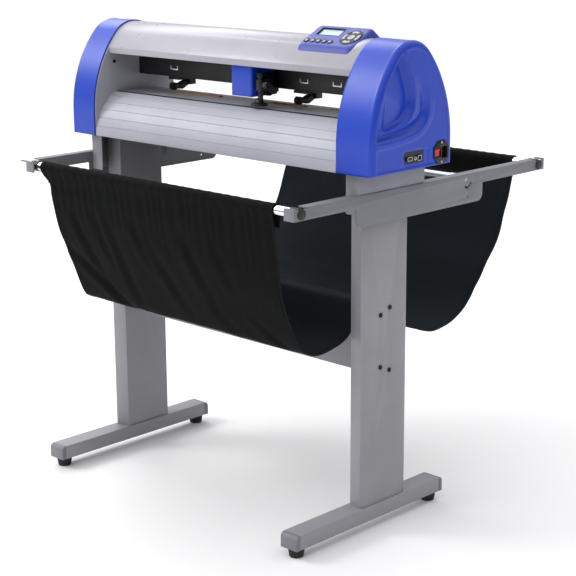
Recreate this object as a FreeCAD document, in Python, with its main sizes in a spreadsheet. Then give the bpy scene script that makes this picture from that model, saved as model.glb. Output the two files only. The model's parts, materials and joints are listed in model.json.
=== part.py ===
"""Desktop vinyl cutter on a T-leg stand with a media basket.

Frame: +X to the operator's right, -Y towards the operator, +Z up, millimetres.
The origin is on the floor, under the centre of the object's footprint.
"""
import FreeCAD, Part
import math
import os

import Sketcher
from FreeCAD import Placement, Rotation, Vector

doc = FreeCAD.newDocument("vinyl_cutter")

# ---------------------------------------------------------------- driving sizes
SIZES = {
    # stand
    "stand_y": -122, "post_inner_x": 380, "post_thick": 40, "post_outer_half": 75,
    "post_inner_half": 66, "post_wall": 2.5, "beam_x": 400, "beam_width": 48,
    "beam_height": 34, "beam_wall": 2.5, "beam_front_y": -406, "beam_rear_y": 84,
    "beam_cap_thick": 12, "foot_height": 22, "foot_top_radius": 19,
    "foot_base_radius": 15.5, "foot_inset": 24, "cross_bottom": 352, "cross_height": 154,
    "cross_half_depth": 20, "cross_wall": 2, "post_screw_radius": 3,
    "post_screw_head": 5, "post_screw_y": 15, "post_bevel": 4, "post_bevel_face": 10,
    # saddles and basket arms
    "saddle_half": 107, "saddle_height": 88, "saddle_web_x": 437, "plate_thick": 3,
    "saddle_flange": 37, "arm_half_length": 427, "arm_top": 765, "arm_depth": 26,
    "arm_flange": 24, "arm_return": 28, "arm_plate_depth": 67, "arm_plate_front": -240,
    "arm_plate_rear": 189, "arm_corner": 17, "arm_notch_half": 16,
    "rod_y": 405, "rod_height": 752, "rod_radius": 11, "rod_wall": 1.5, "rod_half": 413,
    "plug_collar": 12.5, "plug_neck": 7.9, "plug_head": 11, "plug_head_thick": 3,
    "roller_y": 128, "roller_height": 753, "roller_radius": 10, "roller_half": 409,
    "axle_radius": 4, "run_gap": 0.05,
    # basket cloth
    "cloth_half_width": 370, "cloth_thick": 1.2, "sleeve_gap": 0.8,
    # machine body
    "body_y": -117, "body_half_depth": 132, "body_bottom": 810, "shoulder_height": 865,
    "body_top": 1080, "arch_radius": 279, "left_seam": -400, "right_seam": 390,
    "left_end": -490, "right_end": 490, "cap_wall": 3, "cap_lean": 8, "cap_round": 14,
    "plate_step": 3, "cover_wall": 2.5, "lip_y": -82, "lip_bottom": 1005, "lip_return": 7,
    "cover_rear_height": 960, "apron_y": 130, "apron_radius": 112, "apron_top_y": 66,
    "apron_wall": 2.5, "groove_radius": 1.2, "strip_margin": 5, "strip_width": 11,
    "strip_depth": 1.2, "platen_top": 911,
    "platen_thick": 3, "drum_window": 14,
    # rail, grit shaft, pinch rollers
    "rail_front": -105, "rail_depth": 60, "rail_bottom": 949, "rail_height": 66,
    "rail_wall": 3, "clip_thick": 0.8, "grit_y": -87, "grit_height": 901.2,
    "drum_radius": 13, "shaft_radius": 5, "pinch_radius": 9, "pinch_gap": 0.3,
    "pinch_left_x": -292, "pinch_right_x": 128, "pinch_pivot_y": -58,
    "pinch_pivot_height": 935, "pinch_pin": 2.5,
    # carriage and tool
    "carriage_left": 16, "carriage_right": 81, "carriage_front": -188,
    "carriage_bottom": 936, "carriage_top": 1020, "carriage_wall": 2, "tool_x": 96,
    "tool_y": -174.5, "holder_radius": 6, "guide_y": -150, "guide_radius": 2.5,
    "belt_y": -75, "belt_bottom": 1026, "belt_width": 8, "belt_radius": 10,
    "belt_thick": 1.2, "pulley_gap": 0.3, "pulley_x": 430,
    # feed drive
    "gear_module": 1.5, "gear_teeth": 30, "pinion_teeth": 12, "gear_width": 8,
    # control panel
    "panel_left": 209, "panel_right": 361, "panel_front": -170, "panel_front_top": 1060,
    "panel_slope": 79, "panel_tilt": 28, "panel_corner": 9, "panel_wall": 2.5,
    "skirt_left": 202, "skirt_right": 373, "skirt_right_rear": 388, "skirt_front": -181,
    "skirt_front_height": 1041, "skirt_slope": 100, "skirt_tilt": 14,
    "button_radius": 4.6, "hole_gap": 0.5, "key_inner": 13.5, "key_outer": 24,
    "key_centre": 9,
    # sockets on the right end
    "port_left": -144, "port_right": -82, "port_low": 819, "port_high": 851,
    "inlet_y": -24, "inlet_height": 838, "inlet_half": 25, "inlet_corner": 14,
}

sheet = doc.addObject("Spreadsheet::Sheet", "Sizes")
for row, (alias, number) in enumerate(SIZES.items(), start=1):
    sheet.set("A%d" % row, alias)
    sheet.set("B%d" % row, repr(number))
    sheet.setAlias("B%d" % row, alias)
doc.recompute()


class Size:
    """A length that knows its number and the sheet expression it comes from."""

    def __init__(self, number, text):
        self.number = float(number)
        self.text = text

    def __add__(self, other):
        other = size(other)
        return Size(self.number + other.number, "(%s + %s)" % (self.text, other.text))

    def __sub__(self, other):
        other = size(other)
        return Size(self.number - other.number, "(%s - %s)" % (self.text, other.text))

    def __mul__(self, other):
        other = size(other)
        return Size(self.number * other.number, "(%s * %s)" % (self.text, other.text))

    def __truediv__(self, other):
        other = size(other)
        return Size(self.number / other.number, "(%s / %s)" % (self.text, other.text))

    def __neg__(self):
        return Size(-self.number, "(0 - %s)" % self.text)

    def __radd__(self, other):
        return size(other) + self

    def __rsub__(self, other):
        return size(other) - self

    def __rmul__(self, other):
        return size(other) * self


def size(value):
    """Turn a plain number into a Size, and leave a Size as it is."""
    if isinstance(value, Size):
        return value
    return Size(value, "(%r)" % float(value))


def root(value):
    """Square root of a Size."""
    return Size(math.sqrt(value.number), "sqrt(%s)" % value.text)


class Sheet:
    """Reads the sheet's cells as Sizes: S.post_thick."""

    def __getattr__(self, alias):
        return Size(sheet.get(alias), "Sizes.%s" % alias)


S = Sheet()
nodes = []

# ------------------------------------------------------------ modelling helpers


def bind(thing, name, value):
    """Set a property from a Size, keeping its link to the sheet."""
    value = size(value)
    setattr(thing, name, value.number)
    thing.setExpression(name, value.text)


def place(thing, x, y, z, rotation=None):
    """Put a shape at a point bound to the sheet, turned by a fixed rotation."""
    spot = [size(value) for value in (x, y, z)]
    rotation = rotation or Rotation()
    thing.Placement = Placement(Vector(*[value.number for value in spot]), rotation)
    for axis, value in zip("xyz", spot):
        thing.setExpression("Placement.Base." + axis, value.text)
    return thing


def box(name, x_range, y_range, z_range):
    """A block between two limits on each axis."""
    block = doc.addObject("Part::Box", name)
    for prop, (low, high) in zip(("Length", "Width", "Height"), (x_range, y_range, z_range)):
        bind(block, prop, size(high) - size(low))
    return place(block, x_range[0], y_range[0], z_range[0])


AXIS_TURN = {
    "x": Rotation(Vector(0, 1, 0), 90),
    "y": Rotation(Vector(1, 0, 0), -90),
    "z": Rotation(),
}


def rod(name, radius, axis, low, high, first, second):
    """A cylinder along an axis from low to high.

    first and second are its centre on the two other axes, in X, Y, Z order.
    """
    cylinder = doc.addObject("Part::Cylinder", name)
    bind(cylinder, "Radius", radius)
    bind(cylinder, "Height", size(high) - size(low))
    spot = {"x": (low, first, second), "y": (first, low, second), "z": (first, second, low)}
    return place(cylinder, *spot[axis], rotation=AXIS_TURN[axis])


def cone(name, low_radius, high_radius, low, high, x, y):
    """An upright cone frustum."""
    frustum = doc.addObject("Part::Cone", name)
    bind(frustum, "Radius1", low_radius)
    bind(frustum, "Radius2", high_radius)
    bind(frustum, "Height", size(high) - size(low))
    return place(frustum, x, y, low)


def fuse(name, *pieces):
    union = doc.addObject("Part::MultiFuse", name)
    union.Shapes = list(pieces)
    union.Refine = True
    return union


def cut(name, base, *tools):
    """Base minus every tool."""
    result = doc.addObject("Part::Cut", name)
    result.Base = base
    result.Tool = tools[0] if len(tools) == 1 else fuse(name + "_tools", *tools)
    result.Refine = True
    return result


def group(name, *pieces):
    """Separate solids kept together in one object."""
    bundle = doc.addObject("Part::Compound", name)
    bundle.Links = list(pieces)
    return bundle


def mirror_x(name, source):
    """The source mirrored to the other side of the object."""
    twin = doc.addObject("Part::Mirroring", name)
    twin.Source = source
    twin.Normal = Vector(1, 0, 0)
    return twin


def node(label, thing):
    """Register an object as a sub-part: its Label names the file."""
    thing.Label = label
    nodes.append(thing)
    return thing


PLANE_NORMAL = {"XY_Plane": (0, 0, 1), "XZ_Plane": (0, -1, 0), "YZ_Plane": (1, 0, 0)}


def origin_plane(body, role):
    for feature in body.Origin.OriginFeatures:
        if feature.Role == role:
            return feature
    raise ValueError("no plane " + role)


def draw(body, role, name, corners, offset=None):
    """A closed sketch of straight and round edges on one of the body's planes.

    corners lists (across, up) points. A third entry is the radius of the arc that
    leads to the next corner: positive bulges to the right of the way round.
    """
    sketch = body.newObject("Sketcher::SketchObject", name)
    sketch.AttachmentSupport = [(origin_plane(body, role), "")]
    sketch.MapMode = "FlatFace"
    if offset is not None:
        sketch.AttachmentOffset = Placement(Vector(0, 0, offset.number), Rotation())
        sketch.setExpression("AttachmentOffset.Base.z", offset.text)
    points = [(size(corner[0]), size(corner[1])) for corner in corners]
    ends = []
    for index, corner in enumerate(corners):
        start = Vector(points[index][0].number, points[index][1].number, 0)
        after = points[(index + 1) % len(points)]
        finish = Vector(after[0].number, after[1].number, 0)
        if len(corner) == 2:
            sketch.addGeometry(Part.LineSegment(start, finish), False)
            ends.append((1, 2))
            continue
        radius = abs(size(corner[2]).number)
        side = 1 if size(corner[2]).number > 0 else -1
        along = finish - start
        right = Vector(along.y, -along.x, 0).normalize()
        reach = math.sqrt(max(radius ** 2 - (along.Length / 2) ** 2, 0))
        centre = (start + finish) * 0.5 - right * side * reach
        circle = Part.Circle(centre, Vector(0, 0, 1), radius)
        first, second = circle.parameter(start), circle.parameter(finish)
        counterclockwise = side > 0
        if counterclockwise:
            sketch.addGeometry(Part.ArcOfCircle(circle, first, second), False)
            ends.append((1, 2))
        else:
            sketch.addGeometry(Part.ArcOfCircle(circle, second, first), False)
            ends.append((2, 1))
    count = len(corners)
    for index in range(count):
        sketch.addConstraint(Sketcher.Constraint(
            "Coincident", index, ends[index][1], (index + 1) % count, ends[(index + 1) % count][0]))
    for index, (across, up) in enumerate(points):
        for kind, value in (("DistanceX", across), ("DistanceY", up)):
            at = sketch.addConstraint(Sketcher.Constraint(
                kind, -1, 1, index, ends[index][0], value.number))
            sketch.setExpression("Constraints[%d]" % at, value.text)
    for index, corner in enumerate(corners):
        if len(corner) == 3:
            radius = size(corner[2])
            if radius.number < 0:
                radius = -radius
            at = sketch.addConstraint(Sketcher.Constraint("Radius", index, radius.number))
            sketch.setExpression("Constraints[%d]" % at, radius.text)
    return sketch


def solid(name, role, corners, low, high):
    """A PartDesign body: one sketch padded between two limits along its normal."""
    body = doc.addObject("PartDesign::Body", name)
    sketch = draw(body, role, name + "_sketch", corners)
    pad = body.newObject("PartDesign::Pad", name + "_pad")
    pad.Profile = sketch
    bind(pad, "Length", size(high) - size(low))
    base = high if role == "XZ_Plane" else low
    spot = [size(0) if not part else size(base) for part in PLANE_NORMAL[role]]
    place(body, *spot)
    return body


def disc_gear(name, teeth, width, bore, phase):
    """A spur gear about the body's own +Z, with straight-sided teeth."""
    body = doc.addObject("PartDesign::Body", name)
    pitch_radius = S.gear_module * teeth / 2
    root_radius = pitch_radius - S.gear_module * 1.2
    tip_radius = pitch_radius + S.gear_module * 0.8
    blank = body.newObject("Sketcher::SketchObject", name + "_blank_sketch")
    blank.AttachmentSupport = [(origin_plane(body, "XY_Plane"), "")]
    blank.MapMode = "FlatFace"
    for index, radius in enumerate((root_radius, size(bore))):
        blank.addGeometry(Part.Circle(Vector(), Vector(0, 0, 1), radius.number), False)
        blank.addConstraint(Sketcher.Constraint("Coincident", index, 3, -1, 1))
        at = blank.addConstraint(Sketcher.Constraint("Radius", index, radius.number))
        blank.setExpression("Constraints[%d]" % at, radius.text)
    disc = body.newObject("PartDesign::Pad", name + "_disc")
    disc.Profile = blank
    bind(disc, "Length", width)
    root_half = S.gear_module * 0.72
    tip_half = S.gear_module * 0.3
    tooth = draw(body, "XY_Plane", name + "_tooth_sketch", [
        (root_radius - 1, -root_half), (tip_radius, -tip_half),
        (tip_radius, tip_half), (root_radius - 1, root_half)])
    pad = body.newObject("PartDesign::Pad", name + "_tooth")
    pad.Profile = tooth
    bind(pad, "Length", width)
    ring = body.newObject("PartDesign::PolarPattern", name + "_teeth")
    ring.Originals = [pad]
    ring.Axis = (blank, ["N_Axis"])
    ring.Angle = 360
    ring.Occurrences = int(size(teeth).number)
    body.Tip = ring
    body.Placement = Placement(Vector(), Rotation(Vector(0, 0, 1), phase))
    return body


# ------------------------------------------------------------------------ stand
SIDES = (("left", -1), ("right", 1))


def ordered(first, second):
    """Two limits, the lower one first."""
    first, second = size(first), size(second)
    return (first, second) if first.number <= second.number else (second, first)


def span(side, near, far):
    """An X range on the left or right, measured outwards from the centre."""
    return ordered(size(near) * side, size(far) * side)


def bar(name, radius, side, near, far, y, z):
    """A cylinder along X on the left or right, measured outwards."""
    low, high = span(side, near, far)
    return rod(name, radius, "x", low, high, y, z)


def base_beams():
    beams = []
    low = S.foot_height
    high = low + S.beam_height
    for side_name, side in SIDES:
        near = S.beam_x - S.beam_width / 2
        far = S.beam_x + S.beam_width / 2
        y_range = (S.beam_front_y + S.beam_cap_thick, S.beam_rear_y - S.beam_cap_thick)
        outer = box("beam_outer_" + side_name, span(side, near, far), y_range, (low, high))
        bore = box("beam_bore_" + side_name,
                   span(side, near + S.beam_wall, far - S.beam_wall), y_range,
                   (low + S.beam_wall, high - S.beam_wall))
        beams.append(cut("beam_" + side_name, outer, bore))
    node("base_beams", group("beams", *beams))


def beam_end_caps():
    """Four plugs that close the beams, their top outer edge rounded."""
    caps = []
    low = S.foot_height
    high = low + S.beam_height
    bend = S.beam_cap_thick - 1
    for side_name, side in SIDES:
        near, far = span(side, S.beam_x - S.beam_width / 2, S.beam_x + S.beam_width / 2)
        for end_name, end, inner in (
                ("front", S.beam_front_y, S.beam_front_y + S.beam_cap_thick),
                ("rear", S.beam_rear_y, S.beam_rear_y - S.beam_cap_thick)):
            if end_name == "front":
                corners = [(end, low), (inner, low), (inner, high), (end + bend, high, bend),
                           (end, high - bend)]
            else:
                corners = [(inner, low), (end, low), (end, high - bend, bend),
                           (end - bend, high), (inner, high)]
            caps.append(solid("cap_%s_%s" % (side_name, end_name), "YZ_Plane", corners,
                              near, far))
    node("beam_end_caps", group("caps", *caps))


def rubber_feet():
    feet = []
    for side_name, side in SIDES:
        for y in (S.beam_front_y + S.foot_inset, S.beam_rear_y - S.foot_inset):
            feet.append(cone("foot_" + side_name, S.foot_base_radius, S.foot_top_radius,
                             0, S.foot_height, S.beam_x * side, y))
    node("rubber_feet", group("feet", *feet))


def post_outline(side, inset):
    """Seen from above: a trapezoid, wider outside, with its outer corners bevelled."""
    inner = (S.post_inner_x + inset) * side
    outer = (S.post_inner_x + S.post_thick - inset) * side
    shoulder = outer - S.post_bevel * side
    wide = S.post_outer_half - inset
    flat = S.post_outer_half - S.post_bevel_face
    slim = S.post_inner_half - inset
    corners = [(inner, S.stand_y - slim), (shoulder, S.stand_y - wide),
               (outer, S.stand_y - flat), (outer, S.stand_y + flat),
               (shoulder, S.stand_y + wide), (inner, S.stand_y + slim)]
    return corners if side > 0 else corners[::-1]


def screw_spots():
    """(y, z) of the four screws that hold the cross beam to a post."""
    middle = S.cross_bottom + S.cross_height / 2
    for y, rise in ((-S.post_screw_y, 59), (S.post_screw_y, 71)):
        yield S.stand_y + y, middle + rise
        yield S.stand_y + y, middle - rise


def posts():
    low = S.foot_height + S.beam_height
    high = S.body_bottom - S.plate_thick
    outer_x = S.post_inner_x + S.post_thick
    for side_name, side in SIDES:
        outer = solid("post_outer_" + side_name, "XY_Plane", post_outline(side, size(0)),
                      low, high)
        bore = solid("post_bore_" + side_name, "XY_Plane",
                     post_outline(side, S.post_wall), low, high)
        holes = [bar("post_hole_%s_%d" % (side_name, index), S.post_screw_radius, side,
                     outer_x - S.post_wall, outer_x, y, z)
                 for index, (y, z) in enumerate(screw_spots())]
        node("post_" + side_name, cut("post_shell_" + side_name, outer, bore, *holes))


def cross_beam():
    """A hollow beam between the posts, clear of them at the middle of the stand."""
    depth = S.cross_half_depth
    low, high = S.cross_bottom, S.cross_bottom + S.cross_height
    x_range = (-S.post_inner_x, S.post_inner_x)
    outer = box("cross_outer", x_range, (S.stand_y - depth, S.stand_y + depth), (low, high))
    wall = S.cross_wall
    bore = box("cross_bore", x_range,
               (S.stand_y - depth + wall, S.stand_y + depth - wall), (low + wall, high - wall))
    node("cross_beam", cut("cross", outer, bore))


def machine_saddles():
    """Channel brackets on the posts, which carry the machine and the arms."""
    saddles = []
    top = S.body_bottom
    low = top - S.saddle_height
    under = top - S.plate_thick
    web_inner = S.saddle_web_x - S.plate_thick
    front, rear = S.stand_y - S.saddle_half, S.stand_y + S.saddle_half
    for side_name, side in SIDES:
        web = box("saddle_web_" + side_name, span(side, web_inner, S.saddle_web_x),
                  (front, rear), (low, top))
        shelf = box("saddle_shelf_" + side_name, span(side, S.post_inner_x, web_inner),
                    (front, rear), (under, top))
        ends = [box("saddle_end_%s_%s" % (side_name, end_name),
                    span(side, S.saddle_web_x - S.saddle_flange, web_inner),
                    y_range, (low, under))
                for end_name, y_range in (("front", (front, front + S.plate_thick)),
                                          ("rear", (rear - S.plate_thick, rear)))]
        saddles.append(fuse("saddle_" + side_name, web, shelf, *ends))
    node("machine_saddles", group("saddles", *saddles))


def arm(side_name, side):
    """A folded sheet arm: a web, a top flange towards -X and a return at the front."""
    top = S.arm_top
    low = top - S.arm_depth
    deep = top - S.arm_plate_depth
    inner, outer = S.saddle_web_x, S.saddle_web_x + S.plate_thick
    front, rear = -S.arm_half_length, S.arm_half_length
    plate_front, plate_rear = S.arm_plate_front, S.arm_plate_rear
    bend = S.arm_corner
    web_low, web_high = span(side, inner, outer)
    web = solid("arm_web_" + side_name, "YZ_Plane", [
        (front, low), (plate_front, low), (plate_front, deep + bend, bend),
        (plate_front + bend, deep), (plate_rear - bend, deep, bend),
        (plate_rear, deep + bend), (plate_rear, low), (rear, low), (rear, top),
        (front, top)], web_low, web_high)
    # the top flange runs towards -X on both arms, because they are the same part
    flange_x = (outer * side - S.arm_flange, outer * side) if side > 0 else (
        -outer - S.arm_flange + S.plate_thick, -outer + S.plate_thick)
    flange = box("arm_flange_" + side_name, flange_x, (front, rear),
                 (top - S.plate_thick, top))
    lip = box("arm_return_" + side_name, span(side, outer - S.arm_return, outer),
              (front, front + S.plate_thick), (low, top))
    folded = fuse("arm_fold_" + side_name, web, flange, lip)
    tools = []
    for end_name, y in (("front", -S.rod_y), ("rear", S.rod_y)):
        notch = S.arm_notch_half
        tools.append(box("arm_notch_%s_%s" % (side_name, end_name), flange_x,
                         (y - notch, y + notch), (top - S.plate_thick, top)))
        tools.append(bar("arm_seat_%s_%s" % (side_name, end_name), S.plug_neck, side,
                         inner, outer, y, S.rod_height))
        tools.append(box("arm_slot_%s_%s" % (side_name, end_name),
                         span(side, inner, outer),
                         (y - S.plug_neck, y + S.plug_neck), (S.rod_height, top)))
    tools.append(bar("arm_bore_" + side_name, S.axle_radius + S.run_gap, side, inner,
                     outer, S.roller_y, S.roller_height))
    hook_y, hook_z = S.roller_y + 6, S.roller_height - 17
    tools.append(fuse(
        "arm_hook_" + side_name,
        bar("arm_hook_a_" + side_name, 3.5, side, inner, outer, hook_y - 6, hook_z),
        bar("arm_hook_b_" + side_name, 3.5, side, inner, outer, hook_y, hook_z - 3),
        bar("arm_hook_c_" + side_name, 3.5, side, inner, outer, hook_y + 6, hook_z + 1),
        bar("arm_hook_d_" + side_name, 3.5, side, inner, outer, hook_y + 11, hook_z + 6)))
    tools.append(bar("arm_pilot_" + side_name, 2.5, side, inner, outer, hook_y,
                     hook_z - 23))
    if side > 0:
        relief = S.saddle_half + S.plate_thick
        tools.append(box("arm_relief", (flange_x[0], inner),
                         (S.stand_y - relief, S.stand_y + relief),
                         (top - S.plate_thick, top)))
    node("arm_" + side_name, cut("arm_cut_" + side_name, folded, *tools))


def basket_rods():
    """Two tubes; the plugs close their ends."""
    low, high, z = -S.rod_half, S.rod_half, S.rod_height
    tubes = [cut("basket_rod_" + name, rod("tube_" + name, S.rod_radius, "x", low, high, y, z),
                 rod("tube_bore_" + name, S.rod_radius - S.rod_wall, "x", low, high, y, z))
             for name, y in (("front", -S.rod_y), ("rear", S.rod_y))]
    node("basket_rods", group("rods", *tubes))


def rod_plugs():
    """Plugs between the rods and the arms: a collar, a neck in the slot, a head."""
    plugs = []
    web, face = S.saddle_web_x, S.saddle_web_x + S.plate_thick
    for side_name, side in SIDES:
        for end_name, y in (("front", -S.rod_y), ("rear", S.rod_y)):
            label = "%s_%s" % (side_name, end_name)
            plugs.append(fuse(
                "plug_" + label,
                bar("plug_collar_" + label, S.plug_collar, side, S.rod_half, web, y,
                    S.rod_height),
                bar("plug_neck_" + label, S.plug_neck, side, web, face, y, S.rod_height),
                bar("plug_head_" + label, S.plug_head, side, face,
                    face + S.plug_head_thick, y, S.rod_height)))
    node("rod_plugs", group("plugs", *plugs))


def basket_cloth():
    """One sheet of cloth: front sleeve, front lobe, over the beam, rear lobe, sleeve."""
    thick = S.cloth_thick.number
    rod_y, rod_z = S.rod_y.number, S.rod_height.number
    ring_inner = S.rod_radius.number + S.sleeve_gap.number
    ring_middle = ring_inner + thick / 2
    beam_top = S.cross_bottom.number + S.cross_height.number + 1 + thick / 2
    beam_front = S.stand_y.number - S.cross_half_depth.number
    beam_rear = S.stand_y.number + S.cross_half_depth.number
    # arcs through three points: end of the stretch before, a middle point, an end
    stretches = [
        ((-403, 644), (-368, 510)),
        ((-337, 447), (-288, 418)),
        ((-228, 422), (beam_front - 34, 450)),
        ((beam_front - 18, 484), (beam_front - 4, beam_top)),
        (None, (beam_rear + 4, beam_top)),
        ((beam_rear + 24, 474), (-28, 434)),
        ((70, 399), (134, 394)),
        ((190, 407), (240, 443)),
        ((296, 506), (346, 570)),
        ((382, 650), (rod_y + ring_middle, rod_z)),
    ]
    point = Vector(0, -rod_y - ring_middle, rod_z)
    edges = []
    for middle, end in stretches:
        finish = Vector(0, end[0], end[1])
        if middle is None:
            edges.append(Part.LineSegment(point, finish).toShape())
        else:
            edges.append(Part.Arc(point, Vector(0, middle[0], middle[1]), finish).toShape())
        point = finish
    spine = Part.Wire(edges)
    outer = spine.makeOffset2D(thick / 2, 0, False, True, False)
    inner = spine.makeOffset2D(-thick / 2, 0, False, True, False)
    first, last = outer.OrderedVertexes[0].Point, outer.OrderedVertexes[-1].Point
    start, stop = inner.OrderedVertexes[0].Point, inner.OrderedVertexes[-1].Point
    band = Part.Face(Part.Wire(Part.__sortEdges__(
        outer.Edges + inner.Edges
        + [Part.LineSegment(first, start).toShape(), Part.LineSegment(last, stop).toShape()])))
    half = S.cloth_half_width.number
    cloth = band.extrude(Vector(2 * half, 0, 0))
    for y in (-rod_y, rod_y):
        sleeve = Part.makeCylinder(ring_inner + thick, 2 * half, Vector(0, y, rod_z),
                                   Vector(1, 0, 0))
        cloth = cloth.fuse(sleeve)
    for y in (-rod_y, rod_y):
        cloth = cloth.cut(Part.makeCylinder(ring_inner, 2 * half, Vector(0, y, rod_z),
                                            Vector(1, 0, 0)))
    feature = doc.addObject("Part::Feature", "cloth")
    feature.Shape = cloth.removeSplitter()
    feature.Placement = Placement(Vector(-half, 0, 0), Rotation())
    feature.setExpression("Placement.Base.x", "0 - Sizes.cloth_half_width")
    node("basket_cloth", feature)


def media_roller():
    """A roller behind the machine that turns on stub axles in the arms."""
    half = S.roller_half
    pieces = [rod("roller_tube", S.roller_radius, "x", -half, half, S.roller_y,
                  S.roller_height),
              rod("roller_axle", S.axle_radius, "x", -S.saddle_web_x - S.plate_thick,
                  S.saddle_web_x + S.plate_thick, S.roller_y, S.roller_height)]
    for side_name, side in SIDES:
        pieces.append(bar("roller_hub_" + side_name, S.roller_radius + 1, side, half - 12,
                          half + 3, S.roller_y, S.roller_height))
    node("media_roller", fuse("roller", *pieces))


# ----------------------------------------------------------------- machine body


def arch_sizes():
    """Radius of the top arc and the centre offsets of the three-arc body outline."""
    rise = S.body_top - S.shoulder_height
    reach = S.arch_radius - S.body_half_depth
    top_radius = ((S.arch_radius * S.arch_radius - rise * rise - reach * reach)
                  / (2 * (S.arch_radius - rise)))
    return rise, reach, top_radius


def arch_joint(inset):
    """Distance from the middle, and height, where side and top arcs of the body meet."""
    rise, reach, top_radius = arch_sizes()
    share = (S.arch_radius - inset) / (S.arch_radius - top_radius)
    return reach * share - reach, S.shoulder_height + (rise - top_radius) * share


def arch(inset, low):
    """Body outline seen from the side, moved inwards by inset."""
    half = S.body_half_depth - inset
    joint_y, joint_z = arch_joint(inset)
    side_arc = S.arch_radius - inset
    top_arc = arch_sizes()[2] - inset
    middle = S.body_y
    return [(middle - half, low), (middle + half, low),
            (middle + half, S.shoulder_height, side_arc),
            (middle + joint_y, joint_z, top_arc),
            (middle - joint_y, joint_z, side_arc),
            (middle - half, S.shoulder_height)]


def leaning_arch(name, seam, end, inset, low, round_radius):
    """A solid that leans inwards from the seam to a rounded end."""
    body = doc.addObject("PartDesign::Body", name)
    near = draw(body, "YZ_Plane", name + "_near", arch(inset, low), offset=seam)
    far = draw(body, "YZ_Plane", name + "_far", arch(inset + S.cap_lean, low), offset=end)
    loft = body.newObject("PartDesign::AdditiveLoft", name + "_loft")
    loft.Profile = near
    loft.Sections = [far]
    loft.Ruled = True
    doc.recompute()
    rim = []
    for index, edge in enumerate(loft.Shape.Edges, start=1):
        corners = [vertex.Point for vertex in edge.Vertexes]
        on_end = all(abs(corner.x - end.number) < 0.01 for corner in corners)
        at_floor = all(abs(corner.z - low.number) < 0.01 for corner in corners)
        if on_end and not at_floor:
            rim.append("Edge%d" % index)
    fillet = body.newObject("PartDesign::Fillet", name + "_round")
    fillet.Base = (loft, rim)
    bind(fillet, "Radius", round_radius)
    return body


def end_cap(side_name, seam, end, windows):
    """A hollow end cover, open towards the middle of the machine.

    Both are drawn on the left, and the right one is then mirrored across.
    """
    seam, end = (seam, end) if side_name == "left" else (-seam, -end)
    outer = leaning_arch("cap_outer_" + side_name, seam, end, size(0), S.body_bottom,
                         S.cap_round)
    hollow = leaning_arch("cap_hollow_" + side_name, seam, end + S.cap_wall,
                          S.cap_wall, S.body_bottom + S.cap_wall,
                          S.cap_round - S.cap_wall)
    if side_name == "right":
        outer = mirror_x("cap_outer_mirrored", outer)
        hollow = mirror_x("cap_hollow_mirrored", hollow)
    node("end_cap_" + side_name, cut("cap_shell_" + side_name, outer, hollow, *windows))


def octagon(middle, height, half):
    """A square outline with its corners cut off, seen from the side."""
    flat = half - S.inlet_corner
    return [(middle + half * across + flat * (1 - abs(across)) * along,
             height + half * up + flat * (1 - abs(up)) * along)
            for across, up, along in ((0, -1, -1), (0, -1, 1), (1, 0, -1), (1, 0, 1),
                                      (0, 1, 1), (0, 1, -1), (-1, 0, 1), (-1, 0, -1))]


def end_caps():
    end_cap("left", S.left_seam, S.left_end, [])
    through = (S.right_end - S.cap_wall * 2, S.right_end)
    half = S.inlet_half
    port = box("port_window", through, (S.port_left, S.port_right), (S.port_low, S.port_high))
    inlet = solid("inlet_window", "YZ_Plane", octagon(S.inlet_y, S.inlet_height, half),
                  *through)
    end_cap("right", S.right_seam, S.right_end, [port, inlet])


def side_plates():
    """Inner plates that carry the rail, the grit shaft and the idler's pin."""
    plates = []
    for side_name, low, high in (
            ("left", S.left_seam, S.left_seam + S.plate_thick),
            ("right", S.right_seam - S.plate_thick, S.right_seam)):
        blank = solid("plate_" + side_name, "YZ_Plane", arch(S.plate_step, S.body_bottom),
                      low, high)
        bore = rod("plate_bore_" + side_name, S.shaft_radius + S.run_gap, "x", low, high,
                   S.grit_y, S.grit_height)
        slot = box("plate_slot_" + side_name, (low, high), (S.belt_y - 15, S.belt_y + 15),
                   (S.belt_bottom - 3, S.belt_bottom + S.belt_width + 3))
        plate = cut("plate_cut_" + side_name, blank, bore, slot)
        if side_name == "left":
            shelf_top = S.belt_bottom - 8
            shelf = box("idler_shelf", (-S.pulley_x - 14, low), (S.belt_y - 9, S.belt_y + 9),
                        (shelf_top - 4, shelf_top))
            pin = rod("idler_pin", 3, "z", shelf_top, S.belt_bottom + 14, -S.pulley_x,
                      S.belt_y)
            plate = fuse("plate_with_pin", plate, shelf, pin)
        plates.append(plate)
    node("side_plates", group("plates", *plates))


INNER_X = (S.left_seam + S.plate_thick, S.right_seam - S.plate_thick)


def base_pan():
    low = S.body_bottom
    deep = S.apron_y
    node("base_pan", box("pan", INNER_X, (S.body_y - deep, S.body_y + deep),
                         (low, low + S.plate_thick)))


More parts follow.
